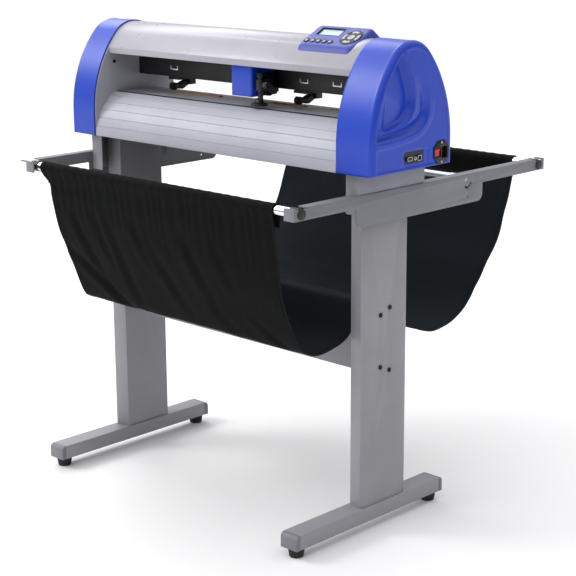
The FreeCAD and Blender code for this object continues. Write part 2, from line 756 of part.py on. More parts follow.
def top_cover():
    """An arched sheet from the front lip to the rear edge, open under the panel."""
    reach = arch_sizes()[1]
    middle = S.body_y
    wall = S.cover_wall
    outer, inner = S.plate_step, S.plate_step + wall

    def front_height(inset, y):
        flat = reach - y
        radius = S.arch_radius - inset
        return S.shoulder_height + root(radius * radius - flat * flat)

    def rear_y(inset):
        rise = S.cover_rear_height - S.shoulder_height
        radius = S.arch_radius - inset
        return root(radius * radius - rise * rise) - reach

    outer_y, outer_z = arch_joint(outer)
    inner_y, inner_z = arch_joint(inner)
    top_radius = arch_sizes()[2]
    lip = middle + S.lip_y
    low = S.lip_bottom
    corners = [
        (middle + rear_y(outer), S.cover_rear_height, S.arch_radius - outer),
        (middle + outer_y, outer_z, top_radius - outer),
        (middle - outer_y, outer_z, S.arch_radius - outer),
        (lip, front_height(outer, S.lip_y)),
        (lip, low),
        (lip + S.lip_return, low),
        (lip + S.lip_return, low + wall),
        (lip + wall, low + wall),
        (lip + wall, front_height(inner, S.lip_y + wall), inner - S.arch_radius),
        (middle - inner_y, inner_z, inner - top_radius),
        (middle + inner_y, inner_z, inner - S.arch_radius),
        (middle + rear_y(inner), S.cover_rear_height),
    ]
    opening = box("cover_opening", (S.panel_left + 4, S.panel_right - 4),
                  (S.panel_front + 7, S.panel_front + 64), (S.panel_front_top - 20, 1090))
    node("top_cover", cut("cover_cut", solid("cover", "YZ_Plane", corners, *INNER_X),
                          opening))


def apron(name, label, direction, grooves):
    """A curved sheet from the pan up to the platen, in front or behind."""
    wall = S.apron_wall
    low = S.body_bottom + S.plate_thick
    high = S.platen_top
    foot, top = S.apron_y, S.apron_top_y
    radius = S.apron_radius
    at = {"foot": S.body_y + foot * direction, "top": S.body_y + top * direction,
          "foot_in": S.body_y + (foot - wall) * direction}
    if direction < 0:
        corners = [(at["top"], high, radius), (at["foot"], low), (at["foot_in"], low,
                   wall - radius), (at["top"], high - wall)]
    else:
        corners = [(at["foot"], low, radius), (at["top"], high),
                   (at["top"], high - wall, wall - radius), (at["foot_in"], low)]
    sheet_body = solid(name, "YZ_Plane", corners, *INNER_X)
    if not grooves:
        node(label, sheet_body)
        return
    # centre of the outer arc, from its two ends and its radius
    across, rise = foot - top, high - low
    chord = root(across * across + rise * rise)
    reach = root(radius * radius - chord * chord / 4)
    centre_out = (foot + top) / 2 - rise / chord * reach
    centre_z = (low + high) / 2 - across / chord * reach
    tools = []
    for index in range(grooves):
        angle = math.radians(12 + 11 * index)
        y = S.body_y + (centre_out + radius * math.cos(angle)) * direction
        z = centre_z + radius * math.sin(angle)
        tools.append(rod("%s_groove_%d" % (name, index), S.groove_radius, "x",
                         INNER_X[0], INNER_X[1], y, z))
    node(label, cut(name + "_grooved", sheet_body, *tools))


def platen():
    """The flat bed: a window over each grit drum, and a channel for the cutting strip."""
    low, high = S.platen_top - S.platen_thick, S.platen_top
    front = S.body_y - S.apron_top_y
    bed = box("bed", INNER_X, (front, S.body_y + S.apron_top_y), (low, high))
    lane = (front + S.strip_margin, front + S.strip_margin + S.strip_width)
    channel = box("channel", INNER_X, lane, (high - S.strip_depth, high))
    windows = [box("drum_window_%d" % index, (middle - half - 2, middle + half + 2),
                   (S.grit_y - S.drum_window, S.grit_y + S.drum_window), (low, high))
               for index, (middle, half) in enumerate(DRUMS)]
    node("platen", cut("bed_cut", bed, channel, *windows))
    node("cutting_strip", box("strip", INNER_X, lane, (high - S.strip_depth, high + 0.5)))


# (middle, half length) of each grit drum along X
DRUMS = ((size(-212), size(88)), (size(70), size(80)), (size(290), size(60)))


def grit_shaft():
    y, z = S.grit_y, S.grit_height
    pieces = [rod("shaft", S.shaft_radius, "x", -S.pulley_x, S.right_seam + 18, y, z)]
    for index, (middle, half) in enumerate(DRUMS):
        pieces.append(rod("drum_%d" % index, S.drum_radius, "x", middle - half,
                          middle + half, y, z))
    for index, x in enumerate((S.left_seam - 3.5, S.right_seam + 1)):
        pieces.append(rod("shaft_collar_%d" % index, S.shaft_radius + 3, "x", x, x + 2.5,
                          y, z))
    gear = disc_gear("grit_gear", S.gear_teeth, S.gear_width, S.shaft_radius - 0.5, 6)
    turned = group("grit_gear_turned", gear)
    place(turned, S.right_seam + 6, y, z, rotation=AXIS_TURN["x"])
    node("grit_shaft", fuse("grit_roller", turned, *pieces))


def feed_pinion():
    """The motor's pinion, in mesh below the grit shaft's gear."""
    distance = S.gear_module * (S.gear_teeth + S.pinion_teeth) / 2 + 0.3
    y, z = S.grit_y, S.grit_height - distance
    gear = disc_gear("pinion_gear", S.pinion_teeth, S.gear_width, size(2.5), 0)
    turned = group("pinion_turned", gear)
    place(turned, S.right_seam + 6, y, z, rotation=AXIS_TURN["x"])
    shaft = rod("pinion_shaft", 3, "x", S.right_seam + 6, S.right_seam + 48, y, z)
    node("feed_pinion", fuse("pinion", turned, shaft))
    return y, z


def stepper_motors(feed_y, feed_z):
    """Feed motor and carriage motor, each a square body with a bore for its shaft."""
    half = 28
    feed_x = S.right_seam + 20
    feed = cut("feed_motor",
               box("feed_body", (feed_x, feed_x + 54), (feed_y - half, feed_y + half),
                   (feed_z - half, feed_z + half)),
               rod("feed_bore", 3 + S.run_gap, "x", feed_x, feed_x + 32, feed_y, feed_z))
    posts_low = [rod("feed_standoff_%d" % index, 3, "x", S.right_seam, feed_x,
                     feed_y + y, feed_z - half + 5)
                 for index, y in enumerate((5 - half, half - 5))]
    half = 21
    top = S.belt_bottom - 11
    x, y = S.pulley_x, S.belt_y
    carriage = cut("carriage_motor",
                   box("carriage_motor_body", (x - half, x + half), (y - half, y + half),
                       (top - 40, top)),
                   rod("carriage_motor_bore", 2.5 + S.run_gap, "z", top - 25, top, x, y))
    shelf = box("carriage_motor_shelf", (S.right_seam, x - half), (y - 15, y + 15),
                (top - 24, top - 20))
    node("stepper_motors", group("motors", fuse("feed_drive", feed, *posts_low),
                                 fuse("carriage_drive", carriage, shelf)))


def belt_loop(name, radius, low, high):
    x, y = S.pulley_x, S.belt_y
    return solid(name, "XY_Plane", [
        (-x, y - radius), (x, y - radius, radius), (x + radius, y, radius),
        (x, y + radius), (-x, y + radius, radius), (-x - radius, y, radius)], low, high)


def drive_belt():
    low, high = S.belt_bottom, S.belt_bottom + S.belt_width
    node("drive_belt", cut("belt", belt_loop("belt_outer", S.belt_radius + S.belt_thick,
                                             low, high),
                           belt_loop("belt_inner", S.belt_radius, low, high)))


def pulleys():
    low, high = S.belt_bottom, S.belt_bottom + S.belt_width
    y = S.belt_y
    gap = 0.5
    for label, x in (("drive_pulley", S.pulley_x), ("idler_pulley", -S.pulley_x)):
        hub = rod(label + "_hub", S.belt_radius - S.pulley_gap, "z", low - 2.5, high + 2.5,
                  x, y)
        rims = [rod(label + "_rim_low", S.belt_radius + 2, "z", low - 2.5, low - gap, x, y),
                rod(label + "_rim_high", S.belt_radius + 2, "z", high + gap, high + 2.5,
                    x, y)]
        if label == "drive_pulley":
            shaft = rod("drive_shaft", 2.5, "z", low - 34, high + 5, x, y)
            node(label, fuse(label + "_solid", hub, shaft, *rims))
        else:
            bore = rod("idler_bore", 3 + S.run_gap, "z", low - 2.5, high + 2.5, x, y)
            node(label, cut("idler", fuse(label + "_solid", hub, *rims), bore))


def rail_beam():
    low, high = S.rail_bottom, S.rail_bottom + S.rail_height
    front, rear = S.rail_front, S.rail_front + S.rail_depth
    wall = S.rail_wall
    node("rail_beam", cut("rail", box("rail_outer", INNER_X, (front, rear), (low, high)),
                          box("rail_bore", INNER_X, (front + wall, rear - wall),
                              (low + wall, high - wall))))


def position_clips():
    """Small U-shaped marks on the rail that show where the pinch rollers may stand."""
    clips = []
    front, rear = S.rail_front - S.clip_thick, S.rail_front
    low = S.rail_bottom + 17
    half, line, tall = 13, 2.6, 10
    for index, x in enumerate((-267, 163, 263)):
        bars = [box("clip_base_%d" % index, (x - half, x + half), (front, rear),
                    (low, low + line))]
        for name, edge in (("left", x - half), ("right", x + half - line)):
            bars.append(box("clip_%s_%d" % (name, index), (edge, edge + line),
                            (front, rear), (low + line, low + tall)))
        clips.append(fuse("clip_%d" % index, *bars))
    node("position_clips", group("clips", *clips))


# ----------------------------------------------------------------- pinch rollers


def pinch_units():
    """Carrier under the rail, arm on a pin, and the wheel on its stub axle."""
    wheel_z = S.grit_height + S.drum_radius + S.pinch_gap + S.pinch_radius
    pivot_y, pivot_z = S.pinch_pivot_y, S.pinch_pivot_height
    gap = 1
    for side_name, x in (("left", S.pinch_left_x), ("right", S.pinch_right_x)):
        top = S.rail_bottom - gap
        front, rear = S.rail_front + 3, S.rail_front + S.rail_depth
        deck = box("deck_" + side_name, (x, x + 38), (front, rear), (top - 6, top))
        back = box("back_" + side_name, (x, x + 38), (rear + gap, rear + gap + 4),
                   (top - 6, top + 40))
        foot = box("foot_" + side_name, (x, x + 38), (rear, rear + gap), (top - 6, top))
        cheeks = [box("cheek_%s_%d" % (side_name, index), (low, low + 5),
                      (pivot_y - 7, rear), (pivot_z - 7, top - 6))
                  for index, low in enumerate((x + 6, x + 30))]
        pin = rod("pin_" + side_name, S.pinch_pin, "x", x + 6, x + 35, pivot_y, pivot_z)
        node("pinch_carrier_" + side_name,
             fuse("carrier_" + side_name, deck, back, foot, pin, *cheeks))
        # the arm: a boss on the pin and a beak that reaches down to the wheel
        low_x, high_x = x + 12, x + 29
        boss = rod("boss_" + side_name, S.pinch_pin + 3, "x", low_x, high_x, pivot_y,
                   pivot_z)
        beak = solid("beak_" + side_name, "YZ_Plane", [
            (S.grit_y - 6, wheel_z - 4), (S.grit_y + 5, wheel_z - 5),
            (pivot_y, pivot_z - 5), (pivot_y, pivot_z + 5), (pivot_y - 12, pivot_z + 3),
            (S.grit_y - 6, wheel_z + 6)], low_x, high_x)
        bore = rod("bore_" + side_name, S.pinch_pin + S.run_gap, "x", low_x, high_x,
                   pivot_y, pivot_z)
        axle = rod("axle_" + side_name, 2, "x", x - 7, low_x + 2, S.grit_y, wheel_z)
        node("pinch_arm_" + side_name,
             fuse("arm_body_" + side_name,
                  cut("arm_bored_" + side_name,
                      fuse("arm_solid_" + side_name, boss, beak), bore), axle))
        wheel = cut("wheel_cut_" + side_name,
                    rod("wheel_" + side_name, S.pinch_radius, "x", x - 6, x + 8,
                        S.grit_y, wheel_z),
                    rod("wheel_bore_" + side_name, 2 + S.run_gap, "x", x - 6, x + 8,
                        S.grit_y, wheel_z))
        node("pinch_wheel_" + side_name, wheel)


# -------------------------------------------------------------- carriage and tool


def carriage():
    left, right = S.carriage_left, S.carriage_right
    plate_front, plate_rear = S.rail_front - 6.5, S.rail_front - 1.5
    rail_top = S.rail_bottom + S.rail_height
    hook_low, hook_high = rail_top + 1.5, rail_top + 5.5
    front_plate = box("front_plate", (left + 8, right + 5), (plate_front, plate_rear),
                      (S.carriage_bottom + 6, hook_high))
    hook = box("hook", (left + 8, right - 8), (plate_rear, S.rail_front + S.rail_depth - 5),
               (hook_low, hook_high))
    belt_front = S.belt_y - S.belt_radius - S.belt_thick
    clamp = box("clamp", (left + 19, right - 18), (belt_front - 5, belt_front + 6),
                (hook_high, S.belt_bottom + S.belt_width + 1))
    throat = box("throat", (left + 19, right - 18),
                 (belt_front - 0.3, belt_front + S.belt_thick + 0.3),
                 (S.belt_bottom - 1, S.belt_bottom + S.belt_width + 1))
    outrigger = box("outrigger", (right + 1.5, right + 5),
                    (S.guide_y - 12, plate_front), (S.carriage_bottom + 2, 986))
    lugs = [box("lug_%d" % index, (right + 5, right + 21), (S.guide_y - 5, S.guide_y + 5),
                z_range)
            for index, z_range in enumerate(((S.carriage_bottom + 2, 944), (982, 986)))]
    guide = rod("guide", S.guide_radius, "z", S.carriage_bottom + 2, 986, S.tool_x,
                S.guide_y)
    node("carriage_block", cut("block", fuse("block_solid", front_plate, hook, clamp,
                                             outrigger, guide, *lugs), throat))
    bend = 5

    def shell_outline(inset):
        low_x, high_x, front = left + inset, right - inset, S.carriage_front + inset
        return [(low_x, front + bend, bend), (low_x + bend, front),
                (high_x - bend, front, bend), (high_x, front + bend),
                (high_x, plate_front), (low_x, plate_front)]

    wall = S.carriage_wall
    outer = solid("cover_outer", "XY_Plane", shell_outline(size(0)), S.carriage_bottom,
                  S.carriage_top)
    hollow = solid("cover_hollow", "XY_Plane", shell_outline(wall),
                   S.carriage_bottom + wall, S.carriage_top - wall)
    node("carriage_cover", cut("carriage_shell", outer, hollow))


def tool():
    x, y = S.tool_x, S.tool_y
    low, high = 950, 977
    slide = box("slide_block", (x - 9, x + 9), (y + 6, S.guide_y + 7), (low, high))
    ring = rod("clamp_ring", 10, "z", low + 2, high - 2, x, y)
    holder_bore = rod("holder_bore", S.holder_radius + S.run_gap, "z", low, high, x, y)
    guide_bore = rod("guide_bore", S.guide_radius + S.run_gap, "z", low, high, x, S.guide_y)
    knob_z = 964
    screw_bore = rod("screw_bore", 2.5, "x", x + S.holder_radius, x + 10, y, knob_z)
    node("tool_slide", cut("slide", fuse("slide_solid", slide, ring), holder_bore,
                           guide_bore, screw_bore))
    knob = rod("knob_head", 7, "x", x + 10.5, x + 23, y, knob_z)
    screw = rod("knob_screw", 2.45, "x", x + S.holder_radius + 0.5, x + 10.5, y, knob_z)
    node("clamp_knob", fuse("knob", knob, screw))
    nose = cone("holder_nose", 2.5, S.holder_radius, 920, 930, x, y)
    barrel = rod("holder_barrel", S.holder_radius, "z", 930, 980, x, y)
    crown = rod("holder_crown", 8, "z", 980, 990, x, y)
    blade_bore = rod("blade_bore", 1 + S.run_gap, "z", 920, 936, x, y)
    node("blade_holder", cut("holder", fuse("holder_solid", nose, barrel, crown),
                             blade_bore))
    tip = cone("blade_tip", 0.2, 1, 916.5, 919, x, y)
    shank = rod("blade_shank", 1, "z", 919, 935, x, y)
    node("blade", fuse("blade_solid", tip, shank))


# ------------------------------------------------------------------ control panel
TILT = math.radians(S.panel_tilt.number)
PANEL_TURN = Rotation(Vector(1, 0, 0), S.panel_tilt.number)
SKIRT_TURN = Rotation(Vector(1, 0, 0), S.skirt_tilt.number)


def on_panel(thing, x, up_slope, height):
    """Place a shape on the panel's sloping face, measured from its front top edge."""
    y = S.panel_front + up_slope * math.cos(TILT) - size(height) * math.sin(TILT)
    z = S.panel_front_top + up_slope * math.sin(TILT) + size(height) * math.cos(TILT)
    return place(thing, x, y, z, rotation=PANEL_TURN)


def round_quad(left, right_front, right_rear, low, high, corner):
    """A four-sided outline with round corners, whose right side may slant."""
    return [(left + corner, low), (right_front - corner, low, corner),
            (right_front, low + corner), (right_rear, high - corner, corner),
            (right_rear - corner, high), (left + corner, high, corner),
            (left, high - corner), (left, low + corner, corner)]


def sloping(body, name, corners, y, z, turn):
    """A sketch on a plane through a line along X, tilted up to the rear."""
    sketch = draw(body, "XY_Plane", name, corners)
    sketch.AttachmentOffset = Placement(Vector(0, y.number, z.number), turn)
    sketch.setExpression("AttachmentOffset.Base.y", y.text)
    sketch.setExpression("AttachmentOffset.Base.z", z.text)
    return sketch


def panel_block(name, inset, drop):
    """A block that spreads from the key face down to the skirt on the cover."""
    body = doc.addObject("PartDesign::Body", name)
    corner = S.panel_corner
    face = sloping(body, name + "_face",
                   round_quad(S.panel_left + inset, S.panel_right - inset,
                              S.panel_right - inset, inset, S.panel_slope - inset, corner),
                   S.panel_front + inset * math.sin(TILT),
                   S.panel_front_top - inset * math.cos(TILT), PANEL_TURN)
    skirt = sloping(body, name + "_skirt",
                    round_quad(S.skirt_left + inset, S.skirt_right - inset,
                               S.skirt_right_rear - inset, inset, S.skirt_slope - inset,
                               corner + 2),
                    S.skirt_front, S.skirt_front_height - drop, SKIRT_TURN)
    loft = body.newObject("PartDesign::AdditiveLoft", name + "_loft")
    loft.Profile = skirt
    loft.Sections = [face]
    loft.Ruled = True
    return body


BUTTON_UP = size(16.5)
LCD = {"left": size(227), "width": size(66), "up": size(41), "tall": size(27)}
PAD_X, PAD_UP = size(331), size(38)


def button_x(index):
    return S.panel_left + 10.5 + index * 17


def slab(name, width, depth, thick):
    block = doc.addObject("Part::Box", name)
    bind(block, "Length", width)
    bind(block, "Width", depth)
    bind(block, "Height", thick)
    return block


def disc(name, radius, thick):
    cylinder = doc.addObject("Part::Cylinder", name)
    bind(cylinder, "Radius", radius)
    bind(cylinder, "Height", thick)
    return cylinder


def panel_housing():
    outer = panel_block("panel_outer", size(0), size(0))
    hollow = panel_block("panel_hollow", S.panel_wall, size(5))
    below = solid("panel_below", "YZ_Plane", arch(S.plate_step - 0.1, S.body_bottom),
                  S.skirt_left - 1, S.skirt_right_rear + 1)
    deep = 12
    holes = [on_panel(slab("lcd_hole", LCD["width"], LCD["tall"], deep * 2), LCD["left"],
                      LCD["up"], -deep),
             on_panel(disc("pad_hole", S.key_outer + S.hole_gap, deep * 2), PAD_X, PAD_UP,
                      -deep)]
    for index in range(5):
        holes.append(on_panel(disc("button_hole_%d" % index, S.button_radius + S.hole_gap,
                                   deep * 2), button_x(index), BUTTON_UP, -deep))
    node("panel_housing", cut("panel", outer, hollow, below, *holes))


def panel_controls():
    node("lcd_window", on_panel(slab("lcd", LCD["width"], LCD["tall"], 2), LCD["left"],
                                LCD["up"], -2.4))
    for index in range(5):
        node("menu_button_%d" % (index + 1),
             on_panel(disc("button_%d" % index, S.button_radius, 7.8), button_x(index),
                      BUTTON_UP, -6))
    node("key_enter", on_panel(disc("enter", S.key_centre, 7), PAD_X, PAD_UP, -5.4))
    for label, turn in (("key_right", 0), ("key_up", 90), ("key_left", 180),
                        ("key_down", 270)):
        ring = disc(label + "_ring", S.key_outer, 7)
        ring.Angle = 76
        core = disc(label + "_core", S.key_inner, 7)
        sector = cut(label + "_sector", ring, core)
        sector.Placement = Placement(Vector(), Rotation(Vector(0, 0, 1), turn - 38))
        holder = group(label + "_holder", sector)
        node(label, on_panel(holder, PAD_X, PAD_UP, -5.4))


# ------------------------------------------------- sockets, electronics, fasteners


def sockets():
    outside = S.right_end
    plate = box("port_base", (outside - 6, outside - 4), (S.port_left, S.port_right),
                (S.port_low, S.port_high))
    middle = (S.port_low + S.port_high) / 2
    usb = cut("usb", box("usb_shell", (outside - 4, outside - 1),
                         (S.port_right - 22, S.port_right - 8), (middle - 7, middle + 6)),
              box("usb_hole", (outside - 3, outside - 1),
                  (S.port_right - 20, S.port_right - 10), (middle - 5, middle + 4)))
    serial = box("serial_shell", (outside - 4, outside - 1),
                 (S.port_left + 6, S.port_left + 24), (middle - 4, middle + 5))
    jack = rod("jack", 3.5, "x", outside - 4, outside - 1, S.port_left + 33, middle)
    node("port_plate", group("ports", plate, usb, serial, jack))
    half = S.inlet_half
    y, z = S.inlet_y, S.inlet_height
    flange = solid("inlet_flange", "YZ_Plane", octagon(y, z, half), outside - 3, outside)
    well = box("inlet_well", (outside - 26, outside - 3), (y - 23.5, y + 21),
               (z - 15, z + 15))
    socket = box("socket_hole", (outside - 18, outside), (y + 1, y + 19), (z - 12, z + 12))
    rocker_hole = box("rocker_hole", (outside - 12, outside), (y - 22, y - 2),
                      (z - 9.3, z + 9.3))
    pins = [box("socket_pin_%d" % index, (outside - 18, outside - 6),
                (y + 9 + across, y + 11 + across), (z + up - 2, z + up + 2))
            for index, (across, up) in enumerate(((-4, 7), (-4, -7), (4, 0)))]
    node("power_inlet", fuse("inlet", cut("inlet_body", fuse("inlet_block", flange, well),
                                          socket, rocker_hole), *pins))
    # rocker: a shallow wedge that tips about an axle along Y
    pivot_x = outside - 7
    rocker = solid("rocker", "XZ_Plane", [
        (pivot_x - 3, z - 5), (pivot_x + 4.5, z - 7.8), (pivot_x + 4, z, size(-34)),
        (pivot_x + 6.2, z + 7.5), (pivot_x - 3, z + 5)], y - 20.5, y - 3.5)
    axle = rod("rocker_axle", 1.5, "y", y - 21.9, y - 2.1, pivot_x, z)
    node("power_rocker", fuse("rocker_on_axle", rocker, axle))


def electronics():
    x = S.left_seam - 57
    y, z = S.body_y, S.body_bottom
    board = box("board", (x - 2, x), (y - 80, y + 80), (z + 25, z + 145))
    legs = [rod("board_leg_%d" % index, 3, "x", x, S.left_seam, y + across, z + up)
            for index, (across, up) in enumerate(((-72, 33), (72, 33), (-72, 137),
                                                  (72, 137)))]
    chips = [box("chip_%d" % index, (x - 2 - tall, x - 2), (y + across, y + across + wide),
                 (z + up, z + up + wide))
             for index, (across, up, wide, tall) in enumerate((
                 (-60, 60, 28, 4), (-10, 80, 34, 6), (40, 50, 22, 12), (-50, 105, 18, 3)))]
    node("main_board", fuse("board_assembly", board, *legs, *chips))
    low = S.body_bottom + S.plate_thick
    case = box("supply_case", (-300, -110), (y - 95, y - 5), (low, low + 42))
    inside = box("supply_inside", (-298.5, -111.5), (y - 93.5, y - 6.5),
                 (low + 1.5, low + 40.5))
    node("power_supply", cut("supply", case, inside))


def fasteners():
    screws = []
    face = S.post_inner_x + S.post_thick
    for side_name, side in SIDES:
        for index, (y, z) in enumerate(screw_spots()):
            label = "%s_%d" % (side_name, index)
            screws.append(fuse(
                "post_screw_" + label,
                bar("post_head_" + label, S.post_screw_head, side, face, face + 2, y, z),
                bar("post_shank_" + label, S.post_screw_radius - 0.1, side,
                    face - S.post_wall - 3, face, y, z)))
        for index, y in enumerate((-55, 55)):
            screws.append(bar("saddle_spacer_%s_%d" % (side_name, index), 8, side, face,
                              S.saddle_web_x - S.plate_thick, S.stand_y + y, 740))
    for side_name, low, high in (("left", INNER_X[0], INNER_X[0] + 1.6),
                                 ("right", INNER_X[1] - 1.6, INNER_X[1])):
        screws.append(rod("plate_screw_" + side_name, 4, "x", low, high, -184, 984))
    node("fasteners", group("screws", *screws))


# -------------------------------------------------------------------------- build
def build():
    base_beams()
    beam_end_caps()
    rubber_feet()
    posts()
    cross_beam()
    machine_saddles()
    for side_name, side in SIDES:
        arm(side_name, side)
    basket_rods()
    rod_plugs()
    basket_cloth()
    media_roller()
    end_caps()
    side_plates()
    base_pan()
    top_cover()
    apron("front_sheet", "front_apron", -1, 5)
    apron("rear_sheet", "rear_apron", 1, 0)
    platen()
    rail_beam()
    position_clips()
    grit_shaft()
    stepper_motors(*feed_pinion())
    drive_belt()
    pulleys()
    pinch_units()
    carriage()
    tool()
    panel_housing()
    panel_controls()
    sockets()
    electronics()
    fasteners()


def export():
    """Check every object, then write one STEP file per sub-part."""
    doc.recompute()
    failed = [thing.Name for thing in doc.Objects
              if "Invalid" in thing.State or "Error" in thing.State]
    bad = [thing.Label for thing in nodes
           if thing.Shape.isNull() or not thing.Shape.isValid() or not thing.Shape.Solids]
    if failed or bad:
        raise RuntimeError("failed objects %s, bad shapes %s" % (failed, bad))
    os.makedirs("parts", exist_ok=True)
    for thing in nodes:
        thing.Shape.exportStep("parts/%s.step" % thing.Label)
    print(len(nodes), "sub-parts written")


build()
export()
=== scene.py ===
"""Looks of the vinyl cutter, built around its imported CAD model. Metres, +Z up."""

import json
import math

import bmesh
import bpy
import numpy as np
from mathutils import Matrix, Vector, noise


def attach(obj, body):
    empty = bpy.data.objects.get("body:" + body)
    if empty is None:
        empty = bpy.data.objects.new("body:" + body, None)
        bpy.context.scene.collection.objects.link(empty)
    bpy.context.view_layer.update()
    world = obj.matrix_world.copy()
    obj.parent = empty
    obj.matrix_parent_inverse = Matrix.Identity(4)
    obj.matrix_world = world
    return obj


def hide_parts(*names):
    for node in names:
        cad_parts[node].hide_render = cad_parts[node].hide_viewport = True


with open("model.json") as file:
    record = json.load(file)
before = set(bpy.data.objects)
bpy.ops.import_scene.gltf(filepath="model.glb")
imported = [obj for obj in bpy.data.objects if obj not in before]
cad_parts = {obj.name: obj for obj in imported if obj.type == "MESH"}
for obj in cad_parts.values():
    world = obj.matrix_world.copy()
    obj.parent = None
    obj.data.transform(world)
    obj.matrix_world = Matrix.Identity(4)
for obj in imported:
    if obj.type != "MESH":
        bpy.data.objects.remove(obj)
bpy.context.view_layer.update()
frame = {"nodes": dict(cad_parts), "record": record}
MM = 0.001
SHARP_FROM = 40  # degrees between faces from which an edge looks sharp


# ------------------------------------------------------------------- materials
def srgb(red, green, blue):
    """A colour given in 0-255 display values, as linear RGBA."""
    linear = []
    for value in (red, green, blue):
        value /= 255
        linear.append(value / 12.92 if value <= 0.04045 else ((value + 0.055) / 1.055) ** 2.4)
    return (*linear, 1.0)


class Shader:
    """A procedural material around one Principled shader."""

    def __init__(self, name, roughness=0.5, metallic=0.0, **sockets):
        self.material = bpy.data.materials.new(name)
        self.material.use_nodes = True
        self.tree = self.material.node_tree
        self.surface = self.tree.nodes["Principled BSDF"]
        self.surface.inputs["Roughness"].default_value = roughness
        self.surface.inputs["Metallic"].default_value = metallic
        for socket, value in sockets.items():
            self.surface.inputs[socket.replace("_", " ")].default_value = value
        self.normal = None
        self.place = self.add("ShaderNodeTexCoord").outputs["Object"]

    def add(self, kind, **inputs):
        node = self.tree.nodes.new(kind)
        for name, value in inputs.items():
            self.feed(node.inputs[name.replace("_", " ")], value)
        return node

    def feed(self, socket, value):
        if isinstance(value, bpy.types.NodeSocket):
            self.tree.links.new(value, socket)
        else:
            socket.default_value = value

    def math(self, operation, first, second=0.0):
        node = self.tree.nodes.new("ShaderNodeMath")
        node.operation = operation
        self.feed(node.inputs[0], first)
        self.feed(node.inputs[1], second)
        return node.outputs[0]

    def mapped(self, scale):
        """Object coordinates with a scale of their own on each axis."""
        node = self.add("ShaderNodeMapping", Vector=self.place)
        node.inputs["Scale"].default_value = scale
        return node.outputs["Vector"]

    def noise(self, scale, detail=3.0, vector=None, roughness=0.55):
        node = self.add("ShaderNodeTexNoise", Vector=vector or self.place, Scale=scale,
                        Detail=detail, Roughness=roughness)
        return node.outputs["Fac"]

    def ramp(self, value, stops):
        node = self.add("ShaderNodeValToRGB", Fac=value)
        band = node.color_ramp
        while len(band.elements) < len(stops):
            band.elements.new(0.5)
        for element, (at, colour) in zip(band.elements, stops):
            element.position = at
            element.color = colour
        return node.outputs["Color"]

    def mix(self, factor, first, second):
        node = self.tree.nodes.new("ShaderNodeMix")
        node.data_type = "RGBA"
        self.feed(node.inputs["Factor"], factor)
        self.feed(node.inputs["A"], first)
        self.feed(node.inputs["B"], second)
        return node.outputs["Result"]

    def colour(self, value):
        self.feed(self.surface.inputs["Base Color"], value)
        return self

    def vary_roughness(self, low, high, scale):
        node = self.add("ShaderNodeMapRange", Value=self.noise(scale))
        node.inputs["To Min"].default_value = low
        node.inputs["To Max"].default_value = high
        self.feed(self.surface.inputs["Roughness"], node.outputs["Result"])
        return self

    def bump(self, height, distance, strength=1.0):
        node = self.add("ShaderNodeBump", Height=height, Strength=strength,
                        Distance=distance)
        if self.normal is not None:
            self.tree.links.new(self.normal, node.inputs["Normal"])
        self.normal = node.outputs["Normal"]
        self.feed(self.surface.inputs["Normal"], self.normal)
        return self


def shade(colour, amount):
    """The colour made lighter (above 1) or darker (below 1)."""
    return (*[min(part * amount, 1.0) for part in colour[:3]], 1.0)


def powder_coat(name, colour, roughness=0.45, grain=900):
    """Baked paint on sheet steel: orange peel, slight mottling, rubbed patches."""
    shader = Shader(name, roughness)
    mottle = shader.noise(7, 5)
    shader.colour(shader.ramp(mottle, [(0.35, shade(colour, 0.95)), (0.65, shade(colour, 1.05))]))
    shader.vary_roughness(roughness - 0.06, roughness + 0.1, 24)
    shader.bump(shader.noise(grain, 2), 0.00005)
    return shader.material


def moulded(name, colour, roughness=0.4, grain=1400):
    """Injection-moulded plastic with a fine spark-eroded texture."""
    shader = Shader(name, roughness)
    mottle = shader.noise(5, 3)
    shader.colour(shader.ramp(mottle, [(0.3, shade(colour, 0.96)), (0.7, shade(colour, 1.04))]))
    shader.vary_roughness(roughness - 0.05, roughness + 0.07, 60)
    shader.bump(shader.noise(grain, 2), 0.00003)
    return shader.material


def turned_metal(name, colour, roughness=0.25, lines=(4, 900, 900)):
    """Bare metal with fine machining lines around or along its length."""
    shader = Shader(name, roughness, 1.0)
    marks = shader.noise(1, 4, shader.mapped(lines))
    shader.colour(shader.ramp(marks, [(0.3, shade(colour, 0.9)), (0.7, shade(colour, 1.08))]))
    shader.vary_roughness(max(roughness - 0.08, 0.03), roughness + 0.1, 40)
    shader.bump(marks, 0.00002)
    return shader.material


def woven(name, colour, inside):
    """A plain-weave cloth, its threads laid out in the cut's own flat coordinates."""
    shader = Shader(name, 0.78, Specular_IOR_Level=0.09)
    shader.place = shader.add("ShaderNodeUVMap").outputs["UV"]
    shader.tree.nodes["UV Map"].uv_map = "cut"
    mottle = shader.noise(5, 6)
    outside = shader.ramp(mottle, [(0.3, shade(colour, 0.85)), (0.7, shade(colour, 1.12))])
    # The inner face's colour, lighter and bluer than the outer one, is painted light: it stands in
    # for the brighter light inside the basket.
    inside_painted_light = shader.add("ShaderNodeAttribute")
    inside_painted_light.attribute_name = "inside_painted_light"
    shader.colour(shader.mix(inside_painted_light.outputs["Fac"], outside, inside))
    threads = []
    for direction in ("X", "Y"):
        wave = shader.add("ShaderNodeTexWave", Vector=shader.place, Scale=480)
        wave.bands_direction = direction
        threads.append(wave.outputs["Fac"])
    shader.bump(shader.math("MAXIMUM", *threads), 0.0002, 0.6)
    return shader.material


